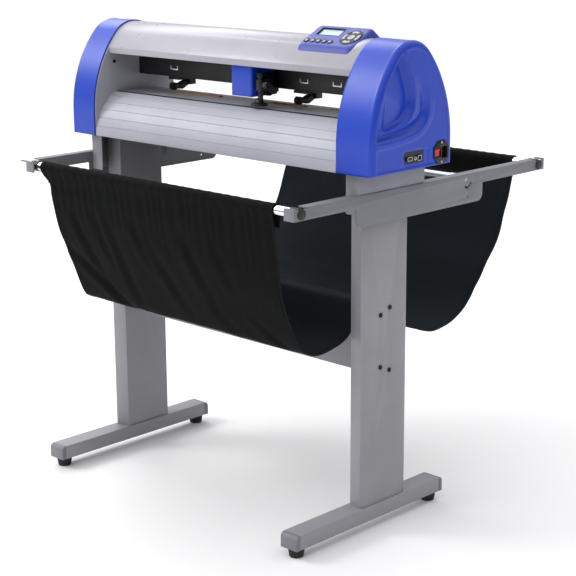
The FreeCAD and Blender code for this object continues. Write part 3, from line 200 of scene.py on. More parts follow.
BLUE = srgb(15, 61, 184)
MATERIALS = {
    "stand_paint": powder_coat("stand_paint", srgb(143, 144, 149)),
    "beam_plastic": moulded("beam_plastic", srgb(118, 119, 125), 0.5),
    "foot_rubber": moulded("foot_rubber", srgb(28, 28, 30), 0.75),
    # The arms' grey is set darker than the stand's, partly as painted shade: their plates sit in
    # the shade of the flanges and the body.
    "arm_paint": powder_coat("arm_paint", srgb(118, 120, 125)),
    "rod_chrome": turned_metal("rod_chrome", srgb(225, 226, 230), 0.14),
    "plug_plastic": moulded("plug_plastic", srgb(22, 22, 24), 0.45),
    # the second colour is the inner face's, lighter than the outer one as painted light
    "basket_fabric": woven("basket_fabric", srgb(6, 8, 7), srgb(22, 28, 33)),
    "roller_metal": turned_metal("roller_metal", srgb(180, 182, 188), 0.35),
    "shell_blue": moulded("shell_blue", BLUE, 0.34),
    "plate_paint": powder_coat("plate_paint", srgb(170, 171, 179)),
    "cover_paint": powder_coat("cover_paint", srgb(164, 163, 172), 0.28),
    "apron_paint": powder_coat("apron_paint", srgb(172, 174, 185), 0.42),
    "strip_plastic": moulded("strip_plastic", srgb(14, 14, 16), 0.5),
    "rail_paint": powder_coat("rail_paint", srgb(16, 18, 19), 0.5),
    "clip_metal": turned_metal("clip_metal", srgb(210, 212, 216), 0.3),
    "panel_blue": moulded("panel_blue", srgb(12, 44, 148), 0.42),
    "lcd_film": moulded("lcd_film", srgb(176, 194, 194), 0.35),
    "port_plastic": moulded("port_plastic", srgb(20, 20, 22), 0.4),
    "motor_paint": powder_coat("motor_paint", srgb(40, 40, 42)),
    "board_green": moulded("board_green", srgb(24, 92, 48), 0.4),
    "supply_case": turned_metal("supply_case", srgb(200, 202, 206), 0.4),
    "belt_rubber": moulded("belt_rubber", srgb(26, 26, 28), 0.7),
    "screw_black": turned_metal("screw_black", srgb(40, 40, 44), 0.4),
    "carriage_metal": turned_metal("carriage_metal", srgb(34, 36, 40), 0.4),
    "tool_black": moulded("tool_black", srgb(16, 17, 19), 0.4),
    "holder_metal": turned_metal("holder_metal", srgb(52, 53, 58), 0.3),
    "blade_steel": turned_metal("blade_steel", srgb(190, 192, 196), 0.2),
    "grit_copper": powder_coat("grit_copper", srgb(186, 150, 124), 0.6),
    "pinion_brass": turned_metal("pinion_brass", srgb(206, 172, 96), 0.3),
    "pulley_metal": turned_metal("pulley_metal", srgb(204, 206, 210), 0.3),
    "pinch_paint": powder_coat("pinch_paint", srgb(18, 18, 20)),
    "wheel_rubber": moulded("wheel_rubber", srgb(32, 32, 34), 0.7),
    "button_silver": moulded("button_silver", srgb(158, 162, 172), 0.4),
    "key_black": moulded("key_black", srgb(10, 11, 14), 0.5),
    "rocker_red": moulded("rocker_red", srgb(200, 26, 30), 0.25),
}

SLOT_OF = {part["node"]: part["material_slot"] for part in frame["record"]["subparts"]}
for name, thing in frame["nodes"].items():
    thing.data.materials.clear()
    thing.data.materials.append(MATERIALS[SLOT_OF[name]])


# ------------------------------------------------------------------ mesh helpers
def piece(name, points, faces, body, slot, smooth=True):
    """A mesh piece from points in millimetres, riding on a body with a slot's finish."""
    mesh = bpy.data.meshes.new(name)
    mesh.from_pydata([tuple(value * MM for value in point) for point in points], [], faces)
    mesh.validate()
    mesh.shade_smooth() if smooth else mesh.shade_flat()
    thing = added(name, mesh)
    finish_with(thing, body, slot)
    return thing


def added(name, data):
    """A new object in the scene."""
    thing = bpy.data.objects.new(name, data)
    bpy.context.scene.collection.objects.link(thing)
    return thing


def finish_with(thing, body, slot):
    """Give a piece its material, its body and its slot."""
    thing.data.materials.append(MATERIALS[slot])
    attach(thing, body)


def crisp(thing):
    """Face the shell outwards and keep its sharp edges sharp."""
    outward(thing)
    thing.data.set_sharp_from_angle(angle=math.radians(SHARP_FROM))
    return thing


def outward(thing):
    shape = bmesh.new()
    shape.from_mesh(thing.data)
    bmesh.ops.recalc_face_normals(shape, faces=shape.faces)
    shape.to_mesh(thing.data)
    shape.free()


def grid_faces(rows, columns, wrap=False, flip=False, start=0):
    """Quads between rows of points; wrap joins each row's end to its beginning."""
    faces = []
    for row in range(rows - 1):
        for column in range(columns if wrap else columns - 1):
            after = (column + 1) % columns
            quad = (row * columns + column, row * columns + after,
                    (row + 1) * columns + after, (row + 1) * columns + column)
            quad = tuple(start + index for index in quad)
            faces.append(quad[::-1] if flip else quad)
    return faces


def apply_modifiers(thing):
    """Replace the mesh by what its modifiers make of it."""
    depsgraph = bpy.context.evaluated_depsgraph_get()
    made = bpy.data.meshes.new_from_object(thing.evaluated_get(depsgraph))
    thing.modifiers.clear()
    thing.data = made


def smooth_path(points, count, closed=False):
    """Evenly spaced points along a Catmull-Rom curve through the given ones."""
    given = np.array(points, dtype=float)
    if closed:
        ring = np.vstack([given[-1], given, given[0], given[1]])
    else:
        ring = np.vstack([2 * given[0] - given[1], given, 2 * given[-1] - given[-2]])
    dense = []
    for index in range(1, len(ring) - 2):
        before, start, end, after = ring[index - 1:index + 3]
        for t in np.linspace(0, 1, 24, endpoint=False):
            dense.append(0.5 * (2 * start + (end - before) * t
                                + (2 * before - 5 * start + 4 * end - after) * t * t
                                + (3 * start - before - 3 * end + after) * t ** 3))
    dense.append(ring[-2])
    return even(np.array(dense), count)


def even(line, count):
    """A polyline cut into equally long steps."""
    steps = np.linalg.norm(np.diff(line, axis=0), axis=1)
    along = np.concatenate([[0], np.cumsum(steps)])
    wanted = np.linspace(0, along[-1], count)
    return np.stack([np.interp(wanted, along, line[:, axis])
                     for axis in range(line.shape[1])], axis=1)


def soft_step(value, low, high):
    t = np.clip((value - low) / (high - low), 0, 1)
    return t * t * (3 - 2 * t)


def distance_to(line, y, z):
    """Distance of points to a polyline, the share of its length there, and the side."""
    best = np.full(y.shape, 1e9)
    share = np.zeros(y.shape)
    side = np.zeros(y.shape)
    for index in range(len(line) - 1):
        start, step = line[index], line[index + 1] - line[index]
        reach = max(float(step @ step), 1e-9)
        t = np.clip(((y - start[0]) * step[0] + (z - start[1]) * step[1]) / reach, 0, 1)
        off_y, off_z = y - start[0] - t * step[0], z - start[1] - t * step[1]
        gap = np.hypot(off_y, off_z)
        near = gap < best
        best = np.where(near, gap, best)
        share = np.where(near, (index + t) / (len(line) - 1), share)
        side = np.where(near, np.sign(step[0] * off_z - step[1] * off_y), side)
    return best, share, side


def bump_noise(points, scale):
    """Smooth noise between -1 and 1 at points in millimetres."""
    return np.array([noise.noise(Vector(point) / scale) for point in points])


# ------------------------------------------------------------------ basket cloth
ROD_Y, ROD_Z = 405, 752
CLOTH_HALF = 370
CLOTH_WIDTH = 2 * CLOTH_HALF
SLEEVE_RADIUS = 13.2
CLOTH_COLUMNS, CLOTH_ROWS = 150, 330
# (y, z) of the hanging sheet, or (y, z, y, z) where its left and right edges differ
CLOTH_PATH = [
    (-412, 723), (-409, 688, -408, 684), (-401, 645, -402, 644), (-389, 603, -395, 598),
    (-373, 562, -385, 555), (-355, 519, -368, 511), (-339, 479, -352, 472),
    (-322, 439, -334, 441), (-309, 427, -313, 426), (-288, 421, -288, 419), (-250, 421),
    (-204, 430, -204, 431), (-176, 450), (-157, 482), (-143, 507), (-122, 509), (-101, 507),
    (-84, 482), (-58, 460), (-20, 441), (24, 424), (76, 402, 76, 398), (134, 397, 134, 394),
    (189, 408, 189, 406), (240, 444, 240, 442), (294, 504), (344, 566), (379, 649), (402, 722),
]
# soft folds of the front lobe: start and end as shares across and down, height, width
FOLDS = [
    (0.00, 0.46, 0.27, 1.02, 5.0, 15), (0.09, 0.10, 0.17, 0.80, 3.4, 15),
    (0.19, 0.06, 0.25, 0.62, 2.6, 14), (0.27, 0.12, 0.31, 0.96, 3.6, 17),
    (0.38, 0.08, 0.44, 0.55, 2.2, 14), (0.43, 0.22, 0.55, 0.82, 3.2, 18),
    (0.60, 0.10, 0.69, 0.66, 2.6, 18), (0.74, 0.14, 0.80, 0.52, 1.8, 16),
    (0.84, 0.70, 0.97, 0.98, 2.4, 14), (0.66, 0.62, 0.76, 0.98, 1.8, 20),
]


def sleeve(side):
    """The cloth's turn round a rod, from the flap's stitched end to the hanging sheet."""
    turn = [(-side * 8.6, -38), (-side * 9.6, -24)]
    for step in range(19):
        angle = math.radians(-16 + step * 12.4)
        radius = SLEEVE_RADIUS + 0.5 * step / 18
        turn.append((-side * radius * math.cos(angle), radius * math.sin(angle)))
    return [(side * ROD_Y + y, ROD_Z + z) for y, z in turn]


def cloth_grid():
    """Points of the sheet's middle surface, with each point's share along the path."""
    edges = []
    for edge in (0, 1):
        hanging = [point[-2:] if edge else point[:2] for point in CLOTH_PATH]
        front, rear = sleeve(-1), sleeve(1)[::-1]
        edges.append(smooth_path(front + hanging + rear, CLOTH_ROWS))
    across = np.linspace(0, 1, CLOTH_COLUMNS)
    left, right = edges
    lean = across[None, :, None] ** 1.3
    yz = left[:, None, :] * (1 - lean) + right[:, None, :] * lean
    x = np.broadcast_to((across * 2 - 1) * CLOTH_HALF, yz.shape[:2])
    # the front sleeve reaches further along the rod at its left end
    tab = 1 - soft_step(np.arange(CLOTH_ROWS) / (CLOTH_ROWS - 1), 0.056, 0.082)
    x = x - 27 * tab[:, None] * np.clip((-x - 290) / 80, 0, 1)
    return np.concatenate([x[..., None], yz], axis=2), across


def unit_normals(points):
    down = np.gradient(points, axis=0)
    over = np.gradient(points, axis=1)
    normal = np.cross(over, down)
    return normal / np.maximum(np.linalg.norm(normal, axis=2, keepdims=True), 1e-9)


def add_cloth():
    points, across = cloth_grid()
    normal = unit_normals(points)
    x, y = points[..., 0], points[..., 1]
    flat = points.reshape(-1, 3)
    broad = bump_noise(flat, 95).reshape(x.shape)
    fine = bump_noise(flat * (1.0, 0.45, 0.45), 17).reshape(x.shape)
    steps = np.linalg.norm(np.diff(points, axis=0), axis=2).mean(axis=1)
    along = np.concatenate([[0], np.cumsum(steps)])
    total = along[-1]
    run = along[:, None] * np.ones_like(x)
    # the sheet is free between the sleeves and the beam
    free_front = soft_step(run, 120, 185) * (1 - soft_step(y, -185, -150)) * (y < -120)
    free_rear = soft_step(y, -85, -45) * soft_step(total - run, 120, 185)
    push = (1.6 * broad + 0.35 * fine) * (free_front + free_rear)
    top = 128.0
    lobe = run[np.argmin(np.abs(points[:CLOTH_ROWS // 2, 0, 1] + 300)), 0] - top
    down = (run - top) / lobe
    for left, high, right, low, height, width in FOLDS:
        line = np.array([(left * CLOTH_WIDTH, high * lobe), (right * CLOTH_WIDTH, low * lobe)])
        gap, share, side = distance_to(line, across[None, :] * CLOTH_WIDTH + 0 * run, down * lobe)
        fade = np.sin(np.clip(share, 0.02, 0.98) * math.pi) ** 0.6
        ridge = np.exp(-(gap / width) ** 2) - 0.55 * np.exp(
            -((gap - width * 1.5) / width) ** 2) * (side > 0)
        push = push + height * ridge * fade * free_front
    # gathers hang from the two stitched seams and fade as they fall
    for seam, drop in ((run - 118, 80), (total - run - 118, 60)):
        pull = np.exp(-np.clip(seam, 0, None) / drop) * (seam > -60) * (1 - np.exp(
            -((seam + 60) / 40) ** 2))
        sway = np.sin(x / 4.3 + 2.2 * bump_noise(np.stack(
            [x, 0 * x, 0 * x], axis=2).reshape(-1, 3), 60).reshape(x.shape) * 2)
        push = push + 0.7 * sway * pull
    sleeves = (1 - soft_step(run, 70, 118)) + (1 - soft_step(total - run, 70, 118))
    push = push + 0.9 * (np.abs(np.sin(x / 9.0 + 1.7 * broad)) - 0.5) * np.clip(sleeves, 0, 1)
    # a crease across the rear lobe, and puckers along its right hem
    push = push + 2.6 * np.exp(-np.abs(y - 238) / 7) * free_rear * (0.6 + 0.4 * broad)
    hem = soft_step(x, 310, 366) + 0.5 * soft_step(-x, 320, 366)
    push = push + 1.3 * hem * np.sin(run / 17 + 3 * broad) * free_rear
    push = push + 0.3 * hem * np.sin(run / 13 + 2 * broad) * free_front
    points = points + normal * push[..., None]
    normal = unit_normals(points)
    # hems and the two flaps are double cloth
    thick = 0.45 + 0.4 * (np.abs(x) > CLOTH_HALF - 15) + 0.35 * (run < 16) + 0.35 * (
        total - run < 16)
    front = (points + normal * thick[..., None]).reshape(-1, 3)
    back = (points - normal * thick[..., None]).reshape(-1, 3)
    rows, columns = CLOTH_ROWS, CLOTH_COLUMNS
    count = rows * columns
    faces = grid_faces(rows, columns, flip=True) + grid_faces(rows, columns, start=count)
    rim = ([row * columns for row in range(rows)]
           + [(rows - 1) * columns + column for column in range(1, columns)]
           + [row * columns + columns - 1 for row in range(rows - 2, -1, -1)]
           + [column for column in range(columns - 2, 0, -1)])
    for index, corner in enumerate(rim):
        after = rim[(index + 1) % len(rim)]
        faces.append((corner, after, after + count, corner + count))
    cloth = piece("basket_sheet", np.vstack([front, back]), faces, "machine",
                  "basket_fabric")
    uv = cloth.data.uv_layers.new(name="cut")
    for loop in cloth.data.loops:
        row, column = divmod(loop.vertex_index % count, columns)
        uv.data[loop.index].uv = (across[column] * CLOTH_WIDTH * MM, along[row] * MM)
    # The inner layer is marked for the lighter inside colour, which is painted light.
    inside_painted_light = cloth.data.attributes.new("inside_painted_light", "FLOAT", "POINT")
    under = normal[rows // 4, columns // 2, 1] < 0
    inside_painted_light.data.foreach_set("value", [float((index >= count) == under)
                                      for index in range(2 * count)])
    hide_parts("basket_cloth")
    stitches = add_stitches(points, normal, thick, along)


def add_stitches(points, normal, thick, along):
    """Threads along the side hems and the two sleeve seams, on both faces."""
    total = along[-1]
    spots = []
    for step in np.arange(14, total - 14, 5.2):
        row = int(np.searchsorted(along, step))
        for column in (2, CLOTH_COLUMNS - 3):
            spots.append((row, column, 0))
    for seam in (int(np.searchsorted(along, 8)), int(np.searchsorted(along, 126)),
                 int(np.searchsorted(along, total - 126))):
        for column in range(3, CLOTH_COLUMNS - 3):
            spots.append((seam, column, 1))
    vertices, faces = [], []
    for row, column, direction in spots:
        centre, up = points[row, column], normal[row, column]
        ahead = (points[row + 1, column] - points[row - 1, column] if direction == 0
                 else points[row, column + 1] - points[row, column - 1])
        ahead = ahead / np.linalg.norm(ahead)
        over = np.cross(up, ahead)
        for face in (1, -1):
            base = centre + up * face * (thick[row, column] + 0.12)
            start = len(vertices)
            for at, fat in ((-1.7, 0.15), (-0.8, 0.42), (0.8, 0.42), (1.7, 0.15)):
                for angle in range(5):
                    turn = math.tau * angle / 5
                    vertices.append(base + ahead * at + over * fat * math.cos(turn)
                                    + up * fat * math.sin(turn))
            faces += grid_faces(4, 5, wrap=True, start=start)
            faces.append(tuple(start + angle for angle in range(4, -1, -1)))
            faces.append(tuple(start + 15 + angle for angle in range(5)))
    return piece("sheet_stitches", vertices, faces, "machine", "basket_fabric")


# ---------------------------------------------------------------------- end caps
BODY_Y, SHOULDER, FLOOR_Z = -117, 865, 810
SEAM, END, LEAN, ROUND = (400, 390), 488.6, 1, 13
CAP_POINTS, FACE_RINGS = 300, 84
PORT_WINDOW = [(-144, 825), (-82, 825), (-82, 850.5), (-144, 850.5)]
INLET_Y, INLET_Z = -24, 838


def arch_line(inset, low):
    """The body's outline, moved inwards: points of a closed loop from the front foot."""
    half, side = 132 - inset, 279 - inset
    rise, reach = 215, 147
    top_centre = SHOULDER + (279 ** 2 - rise ** 2 - reach ** 2) / -(2 * (279 - rise)) + rise
    top = SHOULDER + rise - inset - top_centre
    joint = math.atan2(top_centre - SHOULDER, reach)
    line = [(-half, low)]
    for step in range(41):
        angle = joint * step / 40
        line.append((reach - side * math.cos(angle), SHOULDER + side * math.sin(angle)))
    for step in range(1, 31):
        angle = joint + (math.pi - 2 * joint) * step / 31
        line.append((-top * math.cos(angle), top_centre + top * math.sin(angle)))
    for step in range(41):
        angle = joint * (1 - step / 40)
        line.append((side * math.cos(angle) - reach, SHOULDER + side * math.sin(angle)))
    line.append((half, low))
    return line


def cap_ring(inset, low):
    line = arch_line(inset, low)
    body = even(np.array(line), CAP_POINTS - 60)
    floor = even(np.array([line[-1], line[0]]), 62)[1:-1]
    ring = np.vstack([body, floor])
    ring[:, 0] += BODY_Y
    return ring


RIDGE = [(-176, 1071), (-150, 1052), (-130, 1018), (-116, 975), (-118, 938), (-142, 911),
         (-180, 898), (-222, 893), (-252, 892)]
CRESCENT = [(-98, 1022), (-80, 988), (-67, 948), (-73, 915), (-100, 892), (-140, 881),
            (-184, 877), (-226, 875), (-252, 875)]
SHADOW = [(-62, 1002), (-48, 950), (-58, 905), (-96, 876), (-150, 866), (-205, 862),
          (-250, 860)]


def scoop(y, z, curve, deep, wall, reach, start):
    """A hollow that is deepest beside a curve's steep wall and runs out away from it."""
    gap, share, side = distance_to(smooth_path(curve, 90), y, z)
    inner = np.where(side < 0, gap, 0)
    outer = np.where(side >= 0, gap, 0)
    ends = soft_step(share, 0.0, start)
    floor = 1 - np.clip((inner - wall) / reach, 0, 1)
    hollow = -deep * soft_step(inner, 0, wall) * floor * ends
    crest = 0.12 * deep * np.exp(-((outer - 2) / 7) ** 2) * (side >= 0) * ends
    return hollow, crest


def cap_relief(y, z, ported):
    """How far the end face stands out of its plane."""
    pocket, rim = scoop(y, z, RIDGE, 15, 13, 116, 0.12)
    fold = 0.5 + 0.5 * soft_step(y, -214, -194)
    crescent, crest = scoop(y, z, CRESCENT, 11, 14, 16, 0.4)
    inside = pocket < -0.05
    height = pocket * fold + np.where(inside, 0, crescent) + rim + crest
    gap, share, side = distance_to(smooth_path(SHADOW, 60), y, z)
    height = height + 1.2 * soft_step(np.where(side < 0, gap, 0), 0, 5) * np.exp(
        -gap / 22) * soft_step(share, 0.02, 0.3)
    for knob_y, knob_z in ((-231, 893), (-231, 876)):
        height = height + 1.3 * np.exp(-((y - knob_y) ** 2 + (z - knob_z) ** 2) / 26)
    if ported:
        frame_in = np.minimum.reduce([y + 148, -62 - y, z - 813, 855 - z])
        height = height - 1.3 * soft_step(frame_in, 0, np.where(-62 - y < 20, 7, 2.5))
    return height


def add_cap(name, node, side):
    seam = SEAM[0] if side < 0 else SEAM[1]
    rings, xs = [], []
    for step in range(25):
        t = step / 24
        x = seam + (END - ROUND - seam) * t
        rings.append(cap_ring(LEAN * (x - seam) / (END - seam), FLOOR_Z))
        xs.append(np.full(CAP_POINTS, x))
    for step in range(1, 9):
        angle = math.pi / 2 * step / 8
        inset = LEAN + ROUND * (1 - math.cos(angle)) - 1.1 * math.cos(angle)
        rings.append(cap_ring(inset, FLOOR_Z + 3.5 * (1 - math.cos(angle))))
        xs.append(np.full(CAP_POINTS, END - ROUND * (1 - math.sin(angle))))
    border = rings[-1]
    heart = np.array([BODY_Y - 30, 930.0])
    for step in range(1, FACE_RINGS):
        share = 1 - step / FACE_RINGS
        ring = heart + (border - heart) * share
        fade = soft_step(np.full(CAP_POINTS, 1 - share), 0.0, 0.05)
        rings.append(ring)
        xs.append(END + np.clip(cap_relief(ring[:, 0], ring[:, 1], side > 0), -16, 1.4)
                  * fade - 0.9 * fade)
    points = [(side * x, y, z) for ring, line in zip(rings, xs)
              for (y, z), x in zip(ring, line)]
    points.append((side * float(END - 9), *heart))
    faces = grid_faces(len(rings), CAP_POINTS, wrap=True, flip=side > 0)
    last, middle = (len(rings) - 1) * CAP_POINTS, len(points) - 1
    for index in range(CAP_POINTS):
        ends = (last + index, last + (index + 1) % CAP_POINTS)
        faces.append((*(ends[::-1] if side > 0 else ends), middle))
    cap = piece(name, points, faces, "machine", "shell_blue")
    outward(cap)
    if side > 0:
        open_window(cap, PORT_WINDOW)
        wide, corner = 25.2, 14
        open_window(cap, [(INLET_Y + across, INLET_Z + up) for across, up in (
            (corner - wide, -wide), (wide - corner, -wide), (wide, corner - wide),
            (wide, wide - corner), (wide - corner, wide), (corner - wide, wide),
            (-wide, wide - corner), (-wide, corner - wide))])
    wall = cap.modifiers.new("wall", "SOLIDIFY")
    wall.thickness, wall.offset = 2.4 * MM, -1
    apply_modifiers(cap)
    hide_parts(node)


def open_window(thing, outline):
    """Open a convex outline in (y, z), listed anticlockwise, in the right end face."""
    middle = np.mean(outline, axis=0)
    shape = bmesh.new()
    shape.from_mesh(thing.data)

    def nearby():
        found = []
        for face in shape.faces:
            x, y, z = face.calc_center_median() / MM
            if x > 470 and abs(y - middle[0]) < 45 and abs(z - middle[1]) < 45:
                found.append(face)
        return found

    sides = list(zip(outline, outline[1:] + outline[:1]))
    for (y0, z0), (y1, z1) in sides:
        faces = nearby()
        parts = {part for face in faces for part in (*face.verts, *face.edges)}
        bmesh.ops.bisect_plane(shape, geom=faces + list(parts), dist=1e-7,
                               plane_co=(0, y0 * MM, z0 * MM), plane_no=(0, z1 - z0, y0 - y1))
    inside = []
    for face in nearby():
        x, y, z = face.calc_center_median() / MM
        if all((y1 - y0) * (z - z0) - (z1 - z0) * (y - y0) > 0 for (y0, z0), (y1, z1) in sides):
            inside.append(face)
    bmesh.ops.delete(shape, geom=inside, context="FACES")
    shape.to_mesh(thing.data)
    shape.free()


# ------------------------------------------------- CAD parts with softened edges
BODY_OF = {node: body for body, nodes in frame["record"]["behaviour"]["bodies"].items()
           for node in nodes}


def softened(node, width, segments=2, angle=32):
    """A node's shape with its sharp edges rounded, in place of the node."""
    source = frame["nodes"][node]
    mesh = source.data.copy()
    mesh.transform(source.matrix_world)
    shape = bmesh.new()
    shape.from_mesh(mesh)
    bmesh.ops.remove_doubles(shape, verts=shape.verts, dist=1e-6)
    bmesh.ops.dissolve_limit(shape, angle_limit=math.radians(0.6), verts=shape.verts,
                             edges=shape.edges)
    shape.to_mesh(mesh)
    shape.free()
    for name in ("custom_normal", "sharp_edge", "sharp_face"):
        if name in mesh.attributes:
            mesh.attributes.remove(mesh.attributes[name])
    thing = added(node + "_soft", mesh)
    bevel = thing.modifiers.new("edge", "BEVEL")
    bevel.width, bevel.segments = width * MM, segments
    bevel.limit_method, bevel.angle_limit = "ANGLE", math.radians(angle)
    apply_modifiers(thing)
    thing.data.shade_smooth()
    thing.data.set_sharp_from_angle(angle=math.radians(28))
    thing.data.materials.clear()
    finish_with(thing, BODY_OF[node], SLOT_OF[node])
    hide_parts(node)


SOFT_EDGES = {
    "base_beams": 2.5, "beam_end_caps": 3, "post_left": 1, "post_right": 1, "cross_beam": 2,
    "machine_saddles": 0.9, "arm_left": 0.9, "arm_right": 0.9, "carriage_cover": 1.2,
    "carriage_block": 0.6, "rail_beam": 1.2, "platen": 0.5, "tool_slide": 0.8,
    "pinch_carrier_left": 1, "pinch_carrier_right": 1, "pinch_arm_left": 1.2,
    "pinch_arm_right": 1.2, "rod_plugs": 1, "rubber_feet": 1.6, "top_cover": 0.8,
    "power_inlet": 0.7, "power_rocker": 0.5, "media_roller": 0.8, "position_clips": 0.2,
}


# ------------------------------------------------------------------ turned pieces
def turned(name, body, slot, centre, axis, outline, sides=48, ridges=0, depth=0.0,
           span=(0, 0)):
    """A piece turned about an axis: outline lists (along, radius) in millimetres.

    Ridges cut that many grooves of the given depth into the stretch of the outline
    whose along values lie in span.
    """
    base = {"x": ((1, 0, 0), (0, 1, 0), (0, 0, 1)), "z": ((0, 0, 1), (1, 0, 0), (0, 1, 0)),
            "panel": (PANEL_UP, (1, 0, 0), PANEL_SLOPE)}[axis]
    out, first, second = (Vector(part) for part in base)
    if ridges:
        sides = ridges * 4
    points = []
    for along, radius in outline:
        for step in range(sides):
            angle = math.tau * step / sides
            cutback = depth if ridges and span[0] <= along <= span[1] and step % 4 > 1 else 0
            reach = max(radius - cutback, 0.001)
            points.append(Vector(centre) + out * along
                          + (first * math.cos(angle) + second * math.sin(angle)) * reach)
    rows = len(outline)
    faces = grid_faces(rows, sides, wrap=True)
    faces.append(tuple(range(sides))[::-1])
    faces.append(tuple((rows - 1) * sides + step for step in range(sides)))
    return crisp(piece(name, points, faces, body, slot))


# ----------------------------------------------------------------- control panel
PANEL_TILT = math.radians(28)
PANEL_UP = Vector((0, -math.sin(PANEL_TILT), math.cos(PANEL_TILT)))
PANEL_SLOPE = Vector((0, math.cos(PANEL_TILT), math.sin(PANEL_TILT)))
PANEL_EDGE = Vector((0, -170, 1060))
PAD_AT, BUTTONS_UP, BUTTONS_X = (331, 38), 16.5, [219.5 + 17 * index for index in range(5)]
LCD_BOX = (227, 293, 41, 68)


def on_panel(x, up, height=0.0):
    return Vector((x, 0, 0)) + PANEL_EDGE + PANEL_SLOPE * up + PANEL_UP * height


def ring_band(name, centre, sections, slot, sides=64):
    """A closed ring on the panel: sections lists (radius, height) around its profile."""
    points, faces = [], []
    count = len(sections)
    for step in range(sides):
        angle = math.tau * step / sides
        way = Vector((1, 0, 0)) * math.cos(angle) + PANEL_SLOPE * math.sin(angle)
        for radius, height in sections:
            points.append(centre + way * radius + PANEL_UP * height)
    for step in range(sides):
        for index in range(count):
            after, ahead = (step + 1) % sides, (index + 1) % count
            faces.append((step * count + index, after * count + index,
                          after * count + ahead, step * count + ahead))
    return crisp(piece(name, points, faces, "machine", slot))


def arc_block(name, body, slot, radii, turn, spread, low, high, edge=0.9):
    """A key-shaped block around the pad's centre: part of a ring with eased edges."""
    inner, outer = radii
    rings = []
    for height, inset in ((low, 0), (high - edge, 0), (high - edge * 0.3, edge * 0.3),
                          (high, edge)):
        near, far = inner + inset, outer - inset
        half = math.radians(spread)
        ring = []
        for radius, order in ((near, range(13)), (far, range(12, -1, -1))):
            slack = half - inset / radius
            for step in order:
                angle = math.radians(turn) + slack * (step / 6 - 1)
                ring.append(on_panel(*PAD_AT, height)
                            + (Vector((1, 0, 0)) * math.cos(angle)
                               + PANEL_SLOPE * math.sin(angle)) * radius)
        rings.append(ring)
    count = len(rings[0])
    faces = grid_faces(len(rings), count, wrap=True)
    last = (len(rings) - 1) * count
    for start in (0, last):
        faces += [(start + step, start + step + 1, start + count - 2 - step,
                   start + count - 1 - step) for step in range(12)]
    return crisp(piece(name, [point for ring in rings for point in ring], faces, body, slot))


def quad_loop(corners, steps=8):
    """A closed outline through corners listed as (x, up, radius), with round corners."""
    line = []
    for index, (x, up, radius) in enumerate(corners):
        here = Vector((x, up))
        before = (Vector(corners[index - 1][:2]) - here).normalized() * radius
        after = (Vector(corners[(index + 1) % len(corners)][:2]) - here).normalized() * radius
        for step in range(steps + 1):
            t = step / steps
            line.append(here + before * (1 - t) ** 2 + after * t ** 2)
        following = Vector(corners[(index + 1) % len(corners)][:2])
        reach = (following - here).length - radius - corners[(index + 1) % len(corners)][2]
        for step in range(1, 4):
            line.append(here + after + after.normalized() * reach * step / 4)
    return line


def add_panel_shell():
    """The housing: a softly rounded block that grows out of the cover."""
    round_off = 6.0
    face = quad_loop([(209, 0, 13), (361, 0, 17), (361, 79, 10), (209, 79, 12)])
    inner = quad_loop([(209 + round_off, round_off, 8), (361 - round_off, round_off, 12),
                       (361 - round_off, 79 - round_off, 6), (209 + round_off, 79 - round_off, 7)])
    skirt = quad_loop([(202, 0, 15), (373, 0, 20), (388, 100, 12), (202, 100, 13)])
    lean = math.radians(14)
    arch = np.array(arch_line(3, FLOOR_Z))
    arch = arch[np.argsort(arch[:, 0])]
    rows = [[] for step in range(16)]
    for (x, up), (inner_x, inner_up), (skirt_x, skirt_up) in zip(face, inner, skirt):
        top, inset = on_panel(x, up), on_panel(inner_x, inner_up)
        low = Vector((skirt_x, -181 + skirt_up * math.cos(lean),
                      1041 + skirt_up * math.sin(lean)))
        way = low - top
        start, end = 0.0, 2.5
        for _ in range(40):
            middle = (start + end) / 2
            spot = top + way * middle
            if spot.z > np.interp(spot.y - BODY_Y, arch[:, 0], arch[:, 1]) - 0.4:
                start = middle
            else:
                end = middle
        foot = top + way * start
        turn = min(round_off / way.length, start * 0.8)
        bend = top + way * turn
        for step in range(8):
            t = step / 7
            rows[step].append(inset * (1 - t) ** 2 + top * 2 * t * (1 - t) + bend * t * t)
        for step in range(8):
            rows[8 + step].append(bend + (foot - bend) * (step + 1) / 8)
    count = len(face)
    shape = bmesh.new()
    rings = [[shape.verts.new(point * MM) for point in row] for row in rows]
    for upper, lower in zip(rings, rings[1:]):
        for step in range(count):
            after = (step + 1) % count
            shape.faces.new((upper[step], upper[after], lower[after], lower[step]))
    left, right, low, high = LCD_BOX
    holes = [[(left, low), (right, low), (right, high), (left, high)]]
    for middle_x, middle_up, radius, sides in [(*PAD_AT, 24.5, 64)] + [
            (x, BUTTONS_UP, 5.1, 28) for x in BUTTONS_X]:
        holes.append([(middle_x + radius * math.cos(math.tau * step / sides),
                       middle_up + radius * math.sin(math.tau * step / sides))
                      for step in range(sides)])
    edges = [shape.edges.get((rings[0][step], rings[0][(step + 1) % count]))
             for step in range(count)]
    for hole in holes:
        border = [shape.verts.new(on_panel(x, up) * MM) for x, up in hole]
        edges += [shape.edges.new((border[step], border[(step + 1) % len(border)]))
                  for step in range(len(border))]
    bmesh.ops.triangle_fill(shape, edges=edges, use_beauty=True, normal=PANEL_UP)
    bmesh.ops.recalc_face_normals(shape, faces=shape.faces)
    mesh = bpy.data.meshes.new("panel_shell")
    shape.to_mesh(mesh)
    shape.free()
    shell = added("panel_shell", mesh)
    wall = shell.modifiers.new("wall", "SOLIDIFY")
    wall.thickness, wall.offset = 2.0 * MM, -1
    apply_modifiers(shell)
    shell.data.shade_smooth()
    shell.data.set_sharp_from_angle(angle=math.radians(34))
    finish_with(shell, "machine", "panel_blue")
    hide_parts("panel_housing")


